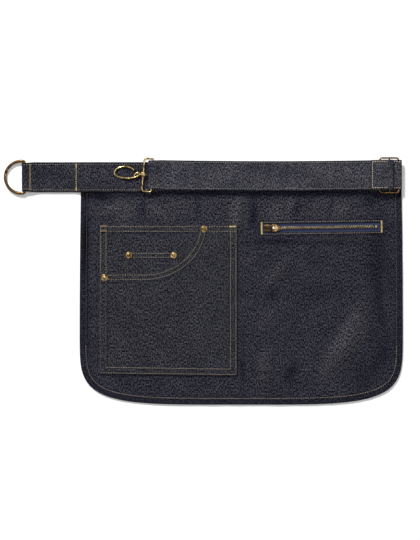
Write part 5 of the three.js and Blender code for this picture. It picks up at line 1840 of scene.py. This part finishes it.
# Teeth of the two rows take turns along the chain, their heads meeting in the middle
def makeTeeth():
    left = sliderLeft + zipSize["sliderLength"] * zipSize["underSlider"]
    count = 2 * int((chainRight - left) / zipSize["pitch"])
    block, single = roundedBlock(zipSize["tooth"], 0.4, 6, 8)
    at = left + zipSize["firstTooth"] + np.arange(count) * zipSize["pitch"] / 2
    side = np.where(np.arange(count) % 2 == 0, 1, -1) * zipSize["toothAside"]
    shift = np.stack([at, side, at * 0 + (chainZ + chainTop) / 2], axis=-1)
    points = (block[None] + shift[:, None]).reshape(-1, 3)
    faces = (single[None] + len(block) * np.arange(count)[:, None, None]).reshape(-1, 4)
    points = placed(points, zipOrigin, zipWindow["tilt"])
    addPiece("zipTeeth", points, faces, zipBrass, "apron", None, "zip_teeth", "zip_brass")


# A rounded block across the chain's end
def makeStop():
    block, faces = roundedBlock(zipSize["stop"], 0.3, 10, 16)
    points = block + [chainRight + zipSize["stopGap"], 0, chainZ + zipSize["stop"][2] / 2]
    points = placed(points, zipOrigin, zipWindow["tilt"])
    addPiece("zipStop", points, faces, zipDark, "apron", None, "zip_stop", "zip_brass")


sliderShape = {
    "shoulders": (0.3, 0.95),  # shares of its length between which it narrows
    "endShare": 0.72,  # of its width at both ends
    "endRound": 1.6,
    "edgeDrop": 0.7,
    "railAside": (2.7, 3.0),
    "archRadius": 1.5,
    "archPast": 0.25,
    "capRise": 2.1,
}
# The arch's section: across, and out from its middle line
archSection = [
    (-1, -0.3),
    (-0.85, -0.4),
    (0.85, -0.4),
    (1, -0.3),
    (1, 0.3),
    (0.85, 0.4),
    (-0.85, 0.4),
    (-1, 0.3),
]
# The cap's profile: below its top, and radius
capProfile = [
    (0.9, 0),
    (0.9, 1.5),
    (0.5, 1.9),
    (0.15, 1.7),
    (0, 1.25),
    (0.08, 0.8),
    (0.45, 0.55),
    (0.45, 0),
]


# The slider's plate, a height field over a grid whose width narrows towards the closed chain, domed at its
# edges and with side walls down to the tape
def sliderPlate():
    length = zipSize["sliderLength"]
    wide = zipSize["sliderWidth"] / 2
    nose = wide * zipSize["nose"]
    s, w = np.meshgrid(
        gridLines(0, length, 0.6, [0, length], (0, 0.08, 0.2, 0.4, 0.7)) / length,
        gridLines(-1, 1, 0.12, [-1, 1, -0.5, 0.5], (0, 0.02, 0.05, 0.09)),
    )
    half = wide - (wide - nose) * smoothStep(s, *sliderShape["shoulders"])
    ends = np.minimum(s, 1 - s) * length
    endShare = sliderShape["endShare"]
    half = half * (endShare + (1 - endShare) * roundOff(ends, sliderShape["endRound"]))
    x = sliderLeft + s * length
    y = w * half
    inset = np.minimum((1 - np.abs(w)) * half, ends)
    top = plateTop - sliderShape["edgeDrop"] * (1 - roundOff(inset, 0.9)) + 0.1
    rail = smoothStep(np.abs(y), *sliderShape["railAside"])
    bottom = chainTop + cloth["gap"] * 0.7 - (chainTop - chainZ) * rail
    bottom = bottom + 0.3 * (1 - roundOff(inset, 0.5))
    return closedSheet(x, y, top, np.minimum(bottom, top - 0.1))


# The arch that holds the pull: its section carried round a little more than a half circle
def sliderArch():
    along = zipPlace(pullPivot[0], pullPivot[1])[0]
    past = sliderShape["archPast"]
    turn = np.linspace(-past, np.pi + past, 22)
    radius = sliderShape["archRadius"]
    arch = np.stack([along + radius * np.cos(turn), pullPivot[2] + radius * np.sin(turn)], axis=-1)
    normals = lineNormals(arch)
    across, out = np.array(archSection).T
    x = arch[:, :1] + normals[:, :1] * out
    y = across + x * 0
    z = arch[:, 1:] + normals[:, 1:] * out
    sides = len(archSection)
    lid = np.array([[0, 1, 6, 7], [1, 2, 5, 6], [2, 3, 4, 5]])
    faces = np.concatenate([ringFaces(len(arch), sides), lid, lid + sides * (len(arch) - 1)])
    return np.stack([x, y, z], axis=-1).reshape(-1, 3), faces


# The slider's body as one mesh, and the cap over its arch, in a near-white metal that paints the glint on
# it
def makeZipSlider():
    points, faces = joined(sliderPlate(), sliderArch())
    points = placed(points, zipOrigin, zipWindow["tilt"])
    addPiece("zipSlider", points, faces, zipDark, "apron", None, "zip_slider", "zip_brass", 35)
    capTop = pullPivot[2] + sliderShape["capRise"]
    profile = [(capTop - below, radius) for below, radius in capProfile]
    points, faces = upright(profile, pullPivot, 28)
    addPiece("zipSliderCap", points, faces, capGlintMetal, "apron", None, None, "zip_brass", 50)


# The pull lies to the left of its pivot
pull = {
    "length": 13,
    "width": 8.4,
    "thick": 1.2,
    "bar": 1.1,
    "window": 3.2,
    "windowWidth": 4.4,
    "windowShare": 0.6,  # of its width
    "cheek": 1.2,
    "shoulder": 1.9,
    "slot": (-11.6, -9.4),
    "slotShare": 0.31,
    "tipRound": 1.2,
    "edgeShare": 0.45,  # of its thickness at the edges
}


# A flat tab with a window behind its bar and a slot near its tip: a grid whose width follows the outline,
# thinner within a short distance of every edge
def makePull():
    length = pull["length"]
    barSide = pull["bar"] / 2
    slotLeft, slotRight = pull["slot"]
    slotShare = pull["slotShare"]
    windowShare = pull["windowShare"]
    edges = [-length, slotLeft, slotRight, -pull["window"], -barSide, barSide]
    lineX = gridLines(-length, barSide, 0.5, edges, (0, 0.06, 0.16, 0.3))
    shares = [-1, 1, -slotShare, slotShare, -windowShare, windowShare]
    x, w = np.meshgrid(lineX, gridLines(-1, 1, 0.1, shares, (0, 0.015, 0.04)))
    eyeHalf = pull["windowWidth"] / 2 + pull["cheek"]
    behindEye = within(x, -pull["window"] - pull["shoulder"], -pull["window"])
    tip = x + length
    half = eyeHalf + (pull["width"] / 2 - eyeHalf) * behindEye
    half = half - (1 - roundOff(tip, pull["tipRound"]))
    y = w * half
    middleX = (x[:-1, :-1] + x[1:, 1:]) / 2
    middleW = np.abs(w[:-1, :-1] + w[1:, 1:]) / 2
    inSlot = (middleX > slotLeft) & (middleX < slotRight) & (middleW < slotShare)
    inWindow = (middleX > -pull["window"]) & (middleX < -barSide) & (middleW < windowShare)
    outer = np.minimum.reduce([(1 - np.abs(w)) * half, tip, barSide - x])
    slotGap = np.maximum.reduce([slotLeft - x, x - slotRight, np.abs(y) - slotShare * half])
    eyeGap = np.maximum.reduce([-pull["window"] - x, x + barSide, np.abs(y) - windowShare * half])
    edge = np.minimum.reduce([roundOff(gap, 0.3) for gap in (outer, np.abs(slotGap), np.abs(eyeGap))])
    thick = pull["thick"] / 2 * (pull["edgeShare"] + (1 - pull["edgeShare"]) * edge)
    points, faces = closedSheet(x, y, thick, -thick, ~(inSlot | inWindow))
    rest = 2 * (cloth["ply"] + cloth["gap"]) + pull["thick"] / 2
    tilt = math.asin((pullPivot[2] - rest) / length)
    points = placed(points, pullPivot, zipWindow["tilt"], tilt)
    addPiece("zipPull", points, faces, zipDark, "zip_pull", None, "zip_pull", "zip_brass", 40)


makeZipTape()
makeTeeth()
makeStop()
makeZipSlider()
makePull()
print("zip made")


# Floor, light and camera, in metres
studio = {
    "floor": 6.0,
    "floorDrop": 0.0004,
    "floorColour": (0.93, 0.93, 0.93, 1),
    "worldStrength": 0.28,
    "lightTarget": (0, 0.03, 0),
    "pictureHeight": 0.702,
    "pictureMiddle": (-0.0406, 0.0370),
    "cameraHeight": 2.0,
    "sensor": 36.0,
}
keyLight = {"place": (-1.4, 2.9, 2.6), "size": 0.7, "power": 190}
topLight = {"place": (0.6, 0.4, 5.0), "size": 2.4, "power": 75}


def makeFloor():
    half = studio["floor"] / 2
    corners = [(-half, -half, 0), (half, -half, 0), (half, half, 0), (-half, half, 0)]
    mesh = bpy.data.meshes.new("floor")
    mesh.from_pydata(corners, [], [(0, 1, 2, 3)])
    material, _, shader = newMaterial("paleFloor")
    setInputs(shader, {"Base Color": studio["floorColour"], "Roughness": 0.9, "Specular IOR Level": 0.1})
    mesh.materials.append(material)
    floor = bpy.data.objects.new("floor", mesh)
    floor.location = (0, 0, -studio["floorDrop"])
    bpy.context.scene.collection.objects.link(floor)


# A disk of light that faces the target
def addLight(name, look):
    light = bpy.data.lights.new(name, "AREA")
    light.shape = "DISK"
    light.size = look["size"]
    light.energy = look["power"]
    holder = bpy.data.objects.new(name, light)
    holder.location = look["place"]
    away = Vector(studio["lightTarget"]) - Vector(look["place"])
    holder.rotation_euler = away.to_track_quat("-Z", "Y").to_euler()
    bpy.context.scene.collection.objects.link(holder)


def makeLights():
    world = bpy.data.worlds.new("studio")
    world.use_nodes = True
    background = world.node_tree.nodes["Background"]
    setInputs(background, {"Color": (1, 1, 1, 1), "Strength": studio["worldStrength"]})
    bpy.context.scene.world = world
    bpy.context.scene.view_settings.view_transform = "Standard"
    addLight("keyLight", keyLight)
    addLight("topLight", topLight)


# Straight above the picture's middle, with the lens that shows the picture's height
def makeCamera():
    camera = bpy.data.cameras.new("camera")
    camera.sensor_width = studio["sensor"]
    camera.lens = studio["sensor"] * studio["cameraHeight"] / studio["pictureHeight"]
    camera.clip_start = 0.05
    camera.clip_end = 20
    holder = bpy.data.objects.new("camera", camera)
    holder.location = (*studio["pictureMiddle"], studio["cameraHeight"])
    bpy.context.scene.collection.objects.link(holder)
    bpy.context.scene.camera = holder


makeFloor()
makeLights()
makeCamera()
print("studio made")
